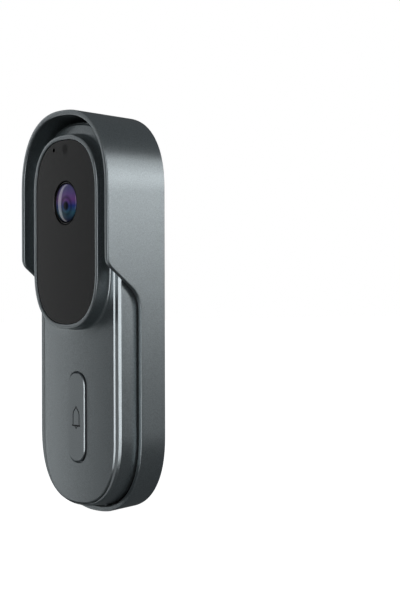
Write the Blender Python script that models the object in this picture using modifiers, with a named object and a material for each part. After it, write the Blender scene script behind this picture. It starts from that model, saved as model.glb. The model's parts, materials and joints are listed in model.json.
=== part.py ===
"""Battery video doorbell in a wall-mounted rain hood, modelled as separate pieces.

Metres, +Z up.  The wall is the plane y = 0 and the doorbell looks along -Y, so a
"depth" below is a distance in front of the wall: y = -depth.
"""
import math

import bmesh
import bpy
from mathutils import Matrix, Vector

MM = 0.001

# Overall size
HEIGHT = 150 * MM
WIDTH = 61 * MM
END_POWER = 2.4            # roundness of the ends: 2 would be an ellipse
POD_POWER = 2.44

# Rain hood
HOOD_DEPTH = 25.1 * MM
RIM_DEPTH = 10.7 * MM
HOOD_WALL = 2.0 * MM
FLANGE_WIDTH = 6.5 * MM
STEP_HEIGHT = 17.85 * MM    # height of the sharp upper corner of the side's step
STEP_DROP = 11.95 * MM
STEP_ROUND_TOP = 5.0 * MM
STEP_ROUND_LOW = 12.0 * MM
PULL_TOP = 2.1 * MM         # how much lower the top end is at the wall than in front
PULL_LOW = 1.3 * MM         # how much higher the bottom end is at the wall

# Clearances
GAP = 0.3 * MM              # between two pieces that touch
UNIT_GAP = 0.7 * MM         # between the hood's sleeve and the doorbell
SLIDE_GAP = 0.4 * MM
CUT = 1.0 * MM              # how far a cutter runs past the face it opens

# Wall bracket
BRACKET_SHEET = 1.7 * MM
BRACKET_LAP = 3.5 * MM
TONGUE_WIDTH = 5.0 * MM
TONGUE_HEIGHT = 3.0 * MM
TONGUE_LENGTH = 3.4 * MM
TONGUE_INSET = 11.8 * MM
TONGUE_RISE = 12.5 * MM
WALL_SCREW_HOLE = 2.2 * MM
WALL_SCREW_RISE = 45 * MM

# Housings
SHELL_WALL = 1.6 * MM
REAR_DEPTH = 4.6 * MM
GASKET = 0.7 * MM
GASKET_INSET = 0.4 * MM
UNIT_TOP_DROP = 1.5 * MM    # extra room above the doorbell, for the sleeve's taper
PLATE_DEPTH = 14.9 * MM
PLATE = 1.5 * MM
LEDGE_DEPTH = 18.25 * MM
LEDGE_CHAMFER = 0.83 * MM
SCREW_BOSS = 2.9 * MM
SCREW_BOSS_INSET = 3.9 * MM
SCREW_BOSS_DROP = 4.5 * MM
SCREW_HEAD = 1.8 * MM
SCREW_SHANK = 1.0 * MM
HEAD_BORE = 2.2 * MM
THREAD_END = 1.3 * MM
SMALL_HOLE = 1.1 * MM       # board and camera screws
SMALL_SHANK = 0.8 * MM
BOARD_SCREW_INSET = 3.0 * MM

# Front cover, raised camera pod and its black panel
COVER_LEDGE = 3.1 * MM      # width of the ledge outside the cover
COVER_DEPTH = 19.0 * MM
COVER_CHAMFER = 0.35 * MM
COVER_TIP_LEDGE = 0.9 * MM
POD_MARGIN = 2.2 * MM
POD_TOP_DROP = 9.3 * MM
POD_DEPTH = 24.3 * MM
POD_RIM = 1.6 * MM
POD_SEAT = 1.0 * MM
POD_TO_BUTTON = 16.55 * MM
PANEL = 1.4 * MM
PANEL_SINK = 0.3 * MM

# Bell button
BUTTON_WIDTH = 11.4 * MM
BUTTON_HEIGHT = 33.0 * MM
BUTTON_RISE = 35.65 * MM    # button centre above the bottom end of the hood
BUTTON_FACE = 19.6 * MM
BUTTON_GAP = 0.5 * MM
BUTTON_TRAVEL = 0.5 * MM
BUTTON_CHAMFER = 0.3 * MM
BUTTON_LIP = 1.5 * MM
BUTTON_LIP_THICK = 0.5 * MM
PLUNGER = 1.6 * MM
PLUNGER_SEAT = 0.4 * MM
LIP_CLEARANCE = 0.25 * MM
SEAL_HALF = 11.0 * MM
TACT_SIDE = 6.0 * MM

# Camera
LENS_DROP = 25.2 * MM       # lens axis below the top of the pod
LENS_WINDOW = 8.2 * MM
TRIM_WALL = 0.5 * MM
DOME_RADIUS = 7.1 * MM
DOME_SAG = 1.3 * MM
DOME_SINK = 0.5 * MM
BARREL_HEAD = 7.4 * MM
BARREL_THREAD = 5.6 * MM
BARREL_WALL = 1.0 * MM
HOLDER_WALL = 1.5 * MM
SENSOR_BOARD = 24.0 * MM
SENSOR_SIDE = 7.6 * MM
SHUTTLE_STROKE = 8.5 * MM
SHUTTLE_SHEET = 0.6 * MM
FILTER_SIDE = 6.2 * MM
FRAME_SIDE = 28.0 * MM
POST_OFFSET = 9.0 * MM
LED_OFFSET = 13.0 * MM
LAMP_MARGIN = 2.0 * MM
CAMERA_MARGIN = 3.0 * MM
LIGHT_SENSOR_DROP = 4.7 * MM
MIC_RIM = 6.5 * MM          # rim and wall beside the microphone, which is halfway to them
MIC_DROP = 5.2 * MM
MIC_HOLE = 0.5 * MM

# Power, sound and switches
BOARD = 1.2 * MM
BOARD_SPACE = 1.4 * MM      # between the main board and the front plate
SPEAKER_CLEAR = 8.2 * MM     # from the middle of a tongue to the speaker's edge
SPEAKER_THICK = 4.7 * MM
SPEAKER_RISE = 18.5 * MM
PORT_WIDTH = 8.9 * MM
PORT_THICK = 3.2 * MM
PORT_LENGTH = 7.2 * MM
PORT_DEPTH = 13.0 * MM
PORT_BOSS = 3.0 * MM
SHIELD_HALF = 12.0 * MM
SHIELD_RISE = 14.0 * MM
SHIELD_HEIGHT = 18.0 * MM
FLAP_WIDTH = 13.0 * MM
FLAP_THICK = 0.7 * MM
BACK_SWITCH_DROP = 5.0 * MM
BACK_SWITCH_HALF = 2.3 * MM
SCREW_HEAD_SMALL = 1.6 * MM
PLUG_TO_SCREW = 2.2 * MM
PLUG_TO_SWITCH = 2.7 * MM
TAMPER_INSET = 8.4 * MM
TAMPER_TRAVEL = 1.2 * MM
RESET_TRAVEL = 0.5 * MM
AERIAL_INSET = 7.7 * MM      # from the middle of a tongue to the aerial's edge
AERIAL_THICK = 0.5 * MM
AERIAL_DROP = 5.8 * MM       # its upper edge below the top of the doorbell
SET_SCREW = 1.5 * MM
SET_SCREW_DEPTH = 5.6 * MM
SET_SCREW_TRAVEL = 2.4 * MM
BOSS_HALF = 3.5 * MM
BOSS_RISE = 3.5 * MM
BOSS_DEPTH = 8.6 * MM

ROUND_STEPS = 12            # points on each quarter of a rounded end

# Depths that follow from the sizes above
BRACKET_BACK = HOOD_WALL + GAP
BRACKET_FRONT = BRACKET_BACK + BRACKET_SHEET
UNIT_BACK = BRACKET_FRONT + SLIDE_GAP
INNER_BACK = UNIT_BACK + SHELL_WALL
REAR_FRONT = UNIT_BACK + REAR_DEPTH
GASKET_BACK = REAR_FRONT + GAP / 3
GASKET_FRONT = GASKET_BACK + GASKET
FRONT_BACK = GASKET_FRONT + GAP
PLATE_FRONT = PLATE_DEPTH + PLATE
COVER_BACK = PLATE_FRONT + GAP
BOARD_FRONT = PLATE_DEPTH - BOARD_SPACE
BOARD_BACK = BOARD_FRONT - BOARD
BATTERY_BACK = INNER_BACK + GAP
BATTERY_FRONT = BOARD_BACK - SLIDE_GAP
PANEL_FRONT = POD_DEPTH - PANEL_SINK
PANEL_BACK = PANEL_FRONT - PANEL
SEAT_DEPTH = PANEL_BACK - GAP

# Half widths and heights that follow
HALF = WIDTH / 2
TOP = HEIGHT / 2
END_CENTRE = TOP - HALF
SLEEVE_HALF = HALF - HOOD_WALL
UNIT_HALF = SLEEVE_HALF - UNIT_GAP
INNER_HALF = UNIT_HALF - SHELL_WALL
COVER_HALF = UNIT_HALF - COVER_LEDGE
COVER_TIP = END_CENTRE + UNIT_HALF - COVER_TIP_LEDGE
POD_HALF = COVER_HALF - POD_MARGIN
POD_TOP = TOP - POD_TOP_DROP
BUTTON_Z = -TOP + BUTTON_RISE
POD_LOW = BUTTON_Z + BUTTON_HEIGHT / 2 + POD_TO_BUTTON
LENS_Z = POD_TOP - LENS_DROP
MIC_OFFSET = (POD_HALF - MIC_RIM) / 2
BOSS_X = INNER_HALF - SCREW_BOSS_INSET
BOSS_Z = END_CENTRE - SCREW_BOSS_DROP
BATTERY_HALF = BOSS_X - SCREW_BOSS - 2 * GAP
UNIT_TIP = END_CENTRE + UNIT_HALF
UNIT_TOP = UNIT_TIP - UNIT_TOP_DROP
COVER_TOP = COVER_TIP - UNIT_TOP_DROP
TONGUE_X = SLEEVE_HALF - TONGUE_INSET
SPEAKER_RADIUS = TONGUE_X - SPEAKER_CLEAR
SPEAKER_Z = -TOP + SPEAKER_RISE
FRAME_LOW = LENS_Z - FRAME_SIDE / 2
BACK_SWITCH_Z = FRAME_LOW - BACK_SWITCH_DROP
TAMPER_X = BATTERY_HALF - TAMPER_INSET
BATTERY_TOP = BACK_SWITCH_Z - 5.5 * MM
BATTERY_LOW = SPEAKER_Z + SPEAKER_RADIUS + 3 * GAP
BOARD_TOP = FRAME_LOW - GAP
BOARD_LOW = -UNIT_TIP + SHELL_WALL + PORT_LENGTH + 2 * GAP

PAINT = (0.115, 0.125, 0.135)
BLACK_PLASTIC = (0.02, 0.02, 0.022)
GREEN_BOARD = (0.02, 0.09, 0.045)
STEEL = (0.55, 0.56, 0.58)

for old in list(bpy.data.objects):
    bpy.data.objects.remove(old, do_unlink=True)

parts = bpy.data.collections.new("video_doorbell")
cutters = bpy.data.collections.new("cutters")
bpy.context.scene.collection.children.link(parts)
bpy.context.scene.collection.children.link(cutters)


def material(name, colour, roughness=0.5, metallic=0.0):
    """A plain Principled finish for one piece."""
    finish = bpy.data.materials.new(name)
    finish.use_nodes = True
    shader = finish.node_tree.nodes["Principled BSDF"]
    shader.inputs["Base Color"].default_value = (*colour, 1)
    shader.inputs["Roughness"].default_value = roughness
    shader.inputs["Metallic"].default_value = metallic
    return finish


def add(name, mesh, origin=(0, 0, 0)):
    """Make an object of a mesh in world coordinates, with its origin at a point."""
    mesh.transform(Matrix.Translation(-Vector(origin)))
    piece = bpy.data.objects.new(name, mesh)
    piece.location = origin
    parts.objects.link(piece)
    return piece


def finish(piece, colour, roughness=0.5, metallic=0.0):
    """Give a piece its material and return it."""
    piece.data.materials.clear()
    piece.data.materials.append(material(piece.name, colour, roughness, metallic))
    return piece


def capsule(half, low, high, power=END_POWER, end=None):
    """Outline of an upright bar with superellipse ends, counter-clockwise from +X."""
    end = min(half if end is None else end, (high - low) / 2)
    outline = []
    for side, tip in ((1, high), (-1, low)):
        for step in range(2 * ROUND_STEPS + 1):
            angle = math.pi * step / (2 * ROUND_STEPS)
            across = abs(math.cos(angle)) ** (2 / power)
            along = math.sin(angle) ** (2 / power)
            x = math.copysign(half * across, math.cos(angle)) * side
            z = tip - side * end * (1 - along)
            outline.append((x, z))
    return outline


def unit_outline(inset=0):
    """Outline of the doorbell's housings, or one inside it."""
    return capsule(UNIT_HALF - inset, -UNIT_TIP + inset, UNIT_TOP - inset)


def cover_outline(margin=0):
    """Outline of the front cover, or one outside it."""
    return capsule(COVER_HALF + margin, -COVER_TIP - margin, COVER_TOP + margin)


def rectangle(x_low, x_high, z_low, z_high):
    """Outline of an upright rectangle."""
    return [(x_low, z_low), (x_high, z_low), (x_high, z_high), (x_low, z_high)]


def flat_mesh(name, outlines, back, front):
    """Mesh of flat outlines in the X-Z plane, thick from one depth to another."""
    curve = bpy.data.curves.new(name, "CURVE")
    curve.dimensions = "2D"
    curve.fill_mode = "BOTH"
    curve.extrude = (front - back) / 2
    for outline in outlines:
        spline = curve.splines.new("POLY")
        spline.points.add(len(outline) - 1)
        for point, (x, z) in zip(spline.points, outline):
            point.co = (x, z, 0, 1)
        spline.use_cyclic_u = True
    guide = bpy.data.objects.new(name + "_outline", curve)
    guide.rotation_euler = (math.pi / 2, 0, 0)
    guide.location = (0, -(back + front) / 2, 0)
    bpy.context.scene.collection.objects.link(guide)
    depsgraph = bpy.context.evaluated_depsgraph_get()
    mesh = bpy.data.meshes.new_from_object(guide.evaluated_get(depsgraph))
    mesh.transform(guide.matrix_world)
    bpy.data.objects.remove(guide, do_unlink=True)
    work = bmesh.new()
    work.from_mesh(mesh)
    bmesh.ops.remove_doubles(work, verts=work.verts, dist=0.00001)
    bmesh.ops.dissolve_limit(work, angle_limit=0.001, verts=work.verts, edges=work.edges)
    bmesh.ops.recalc_face_normals(work, faces=work.faces)
    work.to_mesh(mesh)
    work.free()
    return mesh


def flat(name, outlines, back, front, origin=(0, 0, 0)):
    """A flat piece."""
    return add(name, flat_mesh(name, outlines, back, front), origin)


def box_mesh(name, x_low, x_high, back, front, z_low, z_high):
    """Mesh of a box between two depths."""
    size = Matrix.Diagonal((x_high - x_low, front - back, z_high - z_low, 1))
    middle = ((x_low + x_high) / 2, -(back + front) / 2, (z_low + z_high) / 2)
    work = bmesh.new()
    bmesh.ops.create_cube(work, size=1, matrix=Matrix.Translation(middle) @ size)
    mesh = bpy.data.meshes.new(name)
    work.to_mesh(mesh)
    work.free()
    return mesh


def box(name, x_low, x_high, back, front, z_low, z_high):
    """A box-shaped piece with its origin at its middle."""
    middle = ((x_low + x_high) / 2, -(back + front) / 2, (z_low + z_high) / 2)
    return add(name, box_mesh(name, x_low, x_high, back, front, z_low, z_high), middle)


def rod_mesh(name, x, z, back, front, radius, segments=18):
    """Mesh of a round rod that points out of the wall."""
    place = Matrix.Translation((x, -(back + front) / 2, z)) @ Matrix.Rotation(math.pi / 2, 4, "X")
    work = bmesh.new()
    bmesh.ops.create_cone(work, cap_ends=True, segments=segments, radius1=radius,
                          radius2=radius, depth=front - back, matrix=place)
    mesh = bpy.data.meshes.new(name)
    work.to_mesh(mesh)
    work.free()
    return mesh


def rod(name, x, z, back, front, radius, segments=18):
    """A round rod with its origin on its axis."""
    mesh = rod_mesh(name, x, z, back, front, radius, segments)
    return add(name, mesh, (x, -(back + front) / 2, z))


def upright_mesh(name, x, depth, z_low, z_high, radius, segments=18):
    """Mesh of a round rod that stands upright."""
    work = bmesh.new()
    place = Matrix.Translation((x, -depth, (z_low + z_high) / 2))
    bmesh.ops.create_cone(work, cap_ends=True, segments=segments, radius1=radius,
                          radius2=radius, depth=z_high - z_low, matrix=place)
    mesh = bpy.data.meshes.new(name)
    work.to_mesh(mesh)
    work.free()
    return mesh


def turned(name, x, z, profile, steps=32):
    """A piece turned about a depth axis; the profile lists (radius, depth) outside first."""
    mesh = bpy.data.meshes.new(name)
    work = bmesh.new()
    dots = [work.verts.new((radius, 0, depth)) for radius, depth in profile]
    closed = profile[0][0] > 0
    for first, second in zip(dots, dots[1:]):
        work.edges.new((first, second))
    if closed:
        work.edges.new((dots[-1], dots[0]))
    work.to_mesh(mesh)
    work.free()
    piece = bpy.data.objects.new(name, mesh)
    piece.rotation_euler = (math.pi / 2, 0, 0)
    piece.location = (x, 0, z)
    parts.objects.link(piece)
    screw = piece.modifiers.new("turn", "SCREW")
    screw.angle = 2 * math.pi
    screw.steps = steps
    screw.render_steps = steps
    screw.use_merge_vertices = True
    screw.merge_threshold = 0.00001
    return piece


def merge(piece, mesh, operation):
    """Join or cut a piece with another mesh, which becomes a hidden cutter."""
    count = len(piece.modifiers)
    tool = bpy.data.objects.new(f"{piece.name}_{operation.lower()}_{count}", mesh)
    tool.hide_render = True
    tool.display_type = "WIRE"
    cutters.objects.link(tool)
    boolean = piece.modifiers.new(f"{operation.lower()}_{count}", "BOOLEAN")
    boolean.operation = operation
    boolean.solver = "EXACT"
    boolean.object = tool
    return tool


def cut(piece, mesh):
    """Remove a mesh from a piece."""
    return merge(piece, mesh, "DIFFERENCE")


def join(piece, mesh):
    """Add a mesh to a piece."""
    return merge(piece, mesh, "UNION")


def chamfer_front(piece, width):
    """Chamfer the edges round a flat piece's front face."""
    world = piece.matrix_world.copy()
    world.translation = piece.location
    front = min((world @ vertex.co).y for vertex in piece.data.vertices)
    weights = piece.data.attributes.new("bevel_weight_edge", "FLOAT", "EDGE")
    for edge in piece.data.edges:
        ends = [(world @ piece.data.vertices[index].co).y for index in edge.vertices]
        weights.data[edge.index].value = 1.0 if max(ends) - front < 1e-6 else 0.0
    bevel = piece.modifiers.new("chamfer", "BEVEL")
    bevel.limit_method = "WEIGHT"
    bevel.width = width
    bevel.segments = 1
    return piece


def pull_ends(mesh, top, low):
    """Draw a bar's two rounded ends in toward the wall."""
    for vertex in mesh.vertices:
        reach = abs(vertex.co.z) - END_CENTRE
        pull, front = (top, HOOD_DEPTH) if vertex.co.z > 0 else (-low, RIM_DEPTH)
        if reach > 0:
            vertex.co.z -= pull * reach / HALF * (1 + vertex.co.y / front)
    work = bmesh.new()
    work.from_mesh(mesh)
    bmesh.ops.triangulate(work, faces=work.faces)
    work.to_mesh(mesh)
    work.free()
    return mesh


def step_profile():
    """Side view of everything in front of the hood: (depth, height) points."""
    corner_top = Vector((HOOD_DEPTH, STEP_HEIGHT))
    corner_low = Vector((RIM_DEPTH, STEP_HEIGHT - STEP_DROP))
    slope = (corner_low - corner_top).normalized()
    down = Vector((0, -1))
    turn = math.acos(slope.dot(down))
    points = [(HOOD_DEPTH, TOP + CUT)]
    for corner, radius, arrive, leave in (
            (corner_top, STEP_ROUND_TOP, down, slope),
            (corner_low, STEP_ROUND_LOW, slope, down)):
        run = radius * math.tan(turn / 2)
        start = corner - arrive * run
        stop = corner + leave * run
        for step in range(9):
            share = step / 8
            bend = (start * (1 - share) ** 2 + corner * 2 * share * (1 - share)
                    + stop * share ** 2)
            points.append(tuple(bend))
    points.append((RIM_DEPTH, -TOP - 4 * CUT))
    return points


def step_mesh(name):
    """Mesh that trims the hood's front to its deep top and shallow lower rim."""
    beyond = HOOD_DEPTH + 4 * CUT
    outline = step_profile()
    outline += [(beyond, -TOP - 4 * CUT), (beyond, TOP + CUT)]
    mesh = flat_mesh(name, [outline], -HALF - CUT, HALF + CUT)
    mesh.transform(Matrix.Rotation(-math.pi / 2, 4, "Z"))
    return mesh


def build_rain_hood():
    """Sleeve and hood in one moulding: a flange on the wall and a stepped front."""
    hood = flat("rain_hood", [capsule(HALF, -TOP, TOP)], 0, HOOD_DEPTH + 2 * CUT)
    pull_ends(hood.data, PULL_TOP, PULL_LOW)
    inside = capsule(SLEEVE_HALF, -TOP + HOOD_WALL, TOP - HOOD_WALL)
    sleeve = flat_mesh("sleeve", [inside], HOOD_WALL, HOOD_DEPTH + 3 * CUT)
    cut(hood, pull_ends(sleeve, PULL_TOP, 0))
    window = capsule(SLEEVE_HALF - FLANGE_WIDTH, -TOP + HOOD_WALL + FLANGE_WIDTH,
                     TOP - HOOD_WALL - FLANGE_WIDTH)
    cut(hood, flat_mesh("window", [window], -CUT, HOOD_WALL + CUT))
    cut(hood, step_mesh("front_step"))
    floor = -TOP + HOOD_WALL
    join(hood, box_mesh("screw_boss", -BOSS_HALF, BOSS_HALF, HOOD_WALL / 2, BOSS_DEPTH,
                        floor - HOOD_WALL / 2, floor + BOSS_RISE))
    cut(hood, upright_mesh("screw_bore", 0, SET_SCREW_DEPTH, -TOP - CUT,
                           floor + BOSS_RISE + CUT, SET_SCREW + GAP))
    return finish(hood, PAINT, 0.42, 0.35)


def tongue_places():
    """Middles of the bracket's four locating tongues."""
    z = END_CENTRE + TONGUE_RISE
    return [(side * TONGUE_X, level * z) for side in (-1, 1) for level in (-1, 1)]


def build_wall_bracket():
    """Plate that clamps the hood's flange to the wall and carries the doorbell."""
    window_half = SLEEVE_HALF - FLANGE_WIDTH
    window_tip = TOP - HOOD_WALL - FLANGE_WIDTH
    plate_half = window_half + BRACKET_LAP
    plate_tip = window_tip + BRACKET_LAP
    plate_low = -TOP + HOOD_WALL + BOSS_RISE + 2 * SLIDE_GAP
    bracket = flat("wall_bracket", [capsule(plate_half, -plate_tip, plate_tip)],
                   BRACKET_BACK, BRACKET_FRONT)
    join(bracket, flat_mesh("wall_pad", [capsule(window_half - GAP, -window_tip + GAP,
                                                 window_tip - GAP)],
                            0, BRACKET_BACK + BRACKET_SHEET / 2))
    for x, z in tongue_places():
        join(bracket, box_mesh("tongue", x - TONGUE_WIDTH / 2, x + TONGUE_WIDTH / 2,
                               BRACKET_FRONT - BRACKET_SHEET / 2,
                               BRACKET_FRONT + TONGUE_LENGTH,
                               z - TONGUE_HEIGHT / 2, z + TONGUE_HEIGHT / 2))
    cut(bracket, box_mesh("boss_relief", -BOSS_HALF - UNIT_GAP, BOSS_HALF + UNIT_GAP,
                          -CUT, BRACKET_FRONT + CUT, -TOP, plate_low))
    for level in (-1, 1):
        cut(bracket, rod_mesh("wall_screw_hole", 0, level * WALL_SCREW_RISE, -CUT,
                              BRACKET_FRONT + CUT, WALL_SCREW_HOLE))
    return finish(bracket, (0.05, 0.05, 0.055), 0.55)


def build_security_screw():
    """Headless hex-socket screw in the hood's bottom boss, stored backed out."""
    low = -TOP + PULL_LOW + GAP
    high = -TOP + HOOD_WALL + BOSS_RISE - GAP
    mesh = upright_mesh("security_screw", 0, SET_SCREW_DEPTH, low, high, SET_SCREW)
    screw = add("security_screw", mesh, (0, -SET_SCREW_DEPTH, low))
    cut(screw, upright_mesh("hex_socket", 0, SET_SCREW_DEPTH, low - CUT, low + 1.6 * MM,
                            0.85 * MM, segments=6))
    return finish(screw, STEEL, 0.3, 1.0)


def screw_boss_places():
    """Corner bosses that hold the two housings together."""
    return {"top_left": (-BOSS_X, BOSS_Z), "top_right": (BOSS_X, BOSS_Z),
            "bottom_left": (-BOSS_X, -BOSS_Z), "bottom_right": (BOSS_X, -BOSS_Z)}


def build_rear_housing():
    """Shallow tub at the back of the doorbell, with pockets for the bracket."""
    rear = flat("rear_housing", [unit_outline()],
                UNIT_BACK, REAR_FRONT)
    cut(rear, flat_mesh("rear_inside", [unit_outline(SHELL_WALL)], INNER_BACK,
                        REAR_FRONT + CUT))
    pocket_wall = SHELL_WALL - SLIDE_GAP
    for x, z in tongue_places():
        half_x = TONGUE_WIDTH / 2 + SLIDE_GAP
        half_z = TONGUE_HEIGHT / 2 + SLIDE_GAP
        end = UNIT_BACK + TONGUE_LENGTH
        join(rear, box_mesh("pocket", x - half_x - pocket_wall, x + half_x + pocket_wall,
                            UNIT_BACK + SHELL_WALL / 2, end + pocket_wall,
                            z - half_z - pocket_wall, z + half_z + pocket_wall))
        cut(rear, box_mesh("pocket_mouth", x - half_x, x + half_x, UNIT_BACK - CUT, end,
                           z - half_z, z + half_z))
    for x, z in screw_boss_places().values():
        join(rear, rod_mesh("boss", x, z, UNIT_BACK + SHELL_WALL / 2, REAR_FRONT, SCREW_BOSS))
        cut(rear, rod_mesh("head_bore", x, z, UNIT_BACK - CUT, UNIT_BACK + HEAD_BORE,
                           SCREW_HEAD + GAP))
        cut(rear, rod_mesh("shank_bore", x, z, UNIT_BACK, REAR_FRONT + CUT,
                           SCREW_SHANK + GAP))
    notch_half = BOSS_HALF + UNIT_GAP
    notch_top = -TOP + HOOD_WALL + BOSS_RISE + UNIT_GAP
    roof_top = notch_top + SET_SCREW_TRAVEL + 0.6 * MM
    join(rear, box_mesh("notch_wall", -notch_half - pocket_wall, notch_half + pocket_wall,
                        UNIT_BACK, REAR_FRONT, -UNIT_TIP + SHELL_WALL, roof_top))
    cut(rear, box_mesh("notch", -notch_half, notch_half, UNIT_BACK - CUT, REAR_FRONT + CUT,
                       -TOP, notch_top))
    cut(rear, upright_mesh("lock_hole", 0, SET_SCREW_DEPTH, notch_top - CUT,
                           notch_top + SET_SCREW_TRAVEL - UNIT_GAP, SET_SCREW + GAP))
    cut(rear, rod_mesh("tamper_hole", TAMPER_X, BACK_SWITCH_Z, UNIT_BACK - CUT,
                       INNER_BACK + CUT, 1.7 * MM))
    cut(rear, rod_mesh("reset_hole", 0, BACK_SWITCH_Z, UNIT_BACK - CUT,
                       INNER_BACK + CUT, 1.5 * MM))
    for step in (-1, 0, 1):
        cut(rear, rod_mesh("sound_hole", step * 3.5 * MM, SPEAKER_Z, UNIT_BACK - CUT,
                           INNER_BACK + CUT, 0.9 * MM, segments=12))
    return finish(rear, BLACK_PLASTIC, 0.5)


def build_housing_gasket():
    """Silicone ring squeezed between the two housings."""
    ring = [unit_outline(GASKET_INSET), unit_outline(SHELL_WALL)]
    gasket = flat("housing_gasket", ring, GASKET_BACK, GASKET_FRONT)
    return finish(gasket, (0.03, 0.03, 0.032), 0.8)


def port_boss_top():
    """Height of the inner face of the thick wall round the charging port."""
    return -UNIT_TIP + SHELL_WALL + PORT_BOSS


def build_front_housing():
    """Main shell: side wall, ledge round the cover and the plate behind the cover."""
    shell = flat("front_housing", [unit_outline()],
                 FRONT_BACK, LEDGE_DEPTH)
    chamfer_front(shell, LEDGE_CHAMFER)
    cut(shell, flat_mesh("cover_seat", [cover_outline(GAP)], PLATE_FRONT,
                         LEDGE_DEPTH + CUT))
    cut(shell, flat_mesh("front_inside", [unit_outline(SHELL_WALL)], FRONT_BACK - CUT,
                         PLATE_DEPTH))
    boss_half = FLAP_WIDTH / 2 + SHELL_WALL
    join(shell, box_mesh("port_wall", -boss_half, boss_half, FRONT_BACK,
                         PLATE_DEPTH + PLATE / 2, -UNIT_TIP + SHELL_WALL / 2,
                         port_boss_top()))
    for x, z in screw_boss_places().values():
        join(shell, rod_mesh("post", x, z, REAR_FRONT + GAP, PLATE_DEPTH + PLATE / 2,
                             SCREW_BOSS - 0.4 * MM))
        cut(shell, rod_mesh("thread", x, z, REAR_FRONT - CUT, PLATE_DEPTH - THREAD_END,
                            SCREW_SHANK + GAP))
    for x, z in board_screw_places():
        join(shell, rod_mesh("stud", x, z, BOARD_FRONT + GAP, PLATE_DEPTH + PLATE / 2,
                             2.2 * MM))
        cut(shell, rod_mesh("stud_thread", x, z, BOARD_FRONT - CUT, PLATE_DEPTH, SMALL_HOLE,
                            segments=16))
    pad_half = BUTTON_WIDTH / 2 - GAP
    pad = rectangle(-pad_half, pad_half, BUTTON_Z - SEAL_HALF, BUTTON_Z + SEAL_HALF)
    cut(shell, flat_mesh("seal_opening", [pad], PLATE_DEPTH - CUT, PLATE_FRONT + CUT))
    cut(shell, rod_mesh("camera_opening", 0, LENS_Z, PLATE_DEPTH - CUT, PLATE_FRONT + CUT,
                        BARREL_HEAD + CAMERA_MARGIN, segments=40))
    port_half = PORT_THICK / 2 + GAP
    cut(shell, box_mesh("port_bay", -PORT_WIDTH / 2 - GAP, PORT_WIDTH / 2 + GAP,
                        PORT_DEPTH - port_half, PORT_DEPTH + port_half,
                        -UNIT_TIP - CUT, port_boss_top() + CUT))
    cut(shell, box_mesh("flap_recess", -FLAP_WIDTH / 2 - GAP, FLAP_WIDTH / 2 + GAP,
                        flap_back() - GAP, flap_front() + 2 * GAP,
                        -UNIT_TIP - CUT, flap_inner() + GAP))
    return finish(shell, PAINT, 0.42, 0.35)


def board_screw_places():
    """Screws that fix the main board: two above the battery, two beside the speaker."""
    x = BATTERY_HALF - BOARD_SCREW_INSET
    return [(-x, BACK_SWITCH_Z + 1.5 * MM), (x, BACK_SWITCH_Z + 1.5 * MM),
            (-x, BATTERY_LOW - BOARD_SCREW_INSET), (x, BATTERY_LOW - BOARD_SCREW_INSET)]


def build_housing_screws():
    """Four pan-head screws driven in from the back of the doorbell."""
    for corner, (x, z) in screw_boss_places().items():
        back = UNIT_BACK + GAP
        seat = UNIT_BACK + HEAD_BORE - GAP
        tip = PLATE_DEPTH - THREAD_END - GAP
        screw = rod("housing_screw_" + corner, x, z, seat - 0.2 * MM, tip, SCREW_SHANK, 16)
        shift = Matrix.Translation(-screw.location)
        head = rod_mesh("head", x, z, back, seat, SCREW_HEAD)
        head.transform(shift)
        tool = join(screw, head)
        tool.location = screw.location
        finish(screw, STEEL, 0.35, 1.0)


def build_front_cover():
    """Painted face plate with the raised wall of the camera pod moulded on it."""
    cover = flat("front_cover", [cover_outline()], COVER_BACK, COVER_DEPTH)
    chamfer_front(cover, COVER_CHAMFER)
    pod = flat_mesh("pod_wall", [capsule(POD_HALF, POD_LOW, POD_TOP, POD_POWER)],
                    COVER_DEPTH - 0.8 * MM, POD_DEPTH)
    join(cover, pod)
    rim = POD_RIM
    seat = capsule(POD_HALF - rim, POD_LOW + rim, POD_TOP - rim, POD_POWER)
    cut(cover, flat_mesh("panel_seat", [seat], SEAT_DEPTH, POD_DEPTH + CUT))
    wall = POD_RIM + POD_SEAT
    hollow = capsule(POD_HALF - wall, POD_LOW + wall, POD_TOP - wall, POD_POWER)
    cut(cover, flat_mesh("pod_inside", [hollow], COVER_BACK - CUT, SEAT_DEPTH + CUT / 2))
    half = BUTTON_WIDTH / 2 + BUTTON_GAP
    tall = BUTTON_HEIGHT / 2 + BUTTON_GAP
    hole = capsule(half, BUTTON_Z - tall, BUTTON_Z + tall)
    cut(cover, flat_mesh("button_hole", [hole], COVER_BACK - CUT, COVER_DEPTH + CUT))
    reach = BUTTON_LIP + GAP
    recess = capsule(BUTTON_WIDTH / 2 + reach, BUTTON_Z - BUTTON_HEIGHT / 2 - reach,
                     BUTTON_Z + BUTTON_HEIGHT / 2 + reach)
    cut(cover, flat_mesh("lip_recess", [recess], COVER_BACK - CUT, lip_front() + GAP))
    return finish(cover, PAINT, 0.42, 0.35)


def lip_back():
    """Depth of the back of the button's retaining lip."""
    return PLATE_FRONT + BUTTON_TRAVEL + LIP_CLEARANCE


def lip_front():
    """Depth of the front of the button's retaining lip."""
    return lip_back() + BUTTON_LIP_THICK


def build_bell_button():
    """Push cap with a retaining lip under the cover."""
    low = BUTTON_Z - BUTTON_HEIGHT / 2
    high = BUTTON_Z + BUTTON_HEIGHT / 2
    cap = flat("bell_button", [capsule(BUTTON_WIDTH / 2, low, high)], lip_back(),
               BUTTON_FACE)
    chamfer_front(cap, BUTTON_CHAMFER)
    lip = capsule(BUTTON_WIDTH / 2 + BUTTON_LIP, low - BUTTON_LIP, high + BUTTON_LIP)
    join(cap, flat_mesh("lip", [lip], lip_back(), lip_front()))
    return finish(cap, PAINT, 0.42, 0.35)


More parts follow.
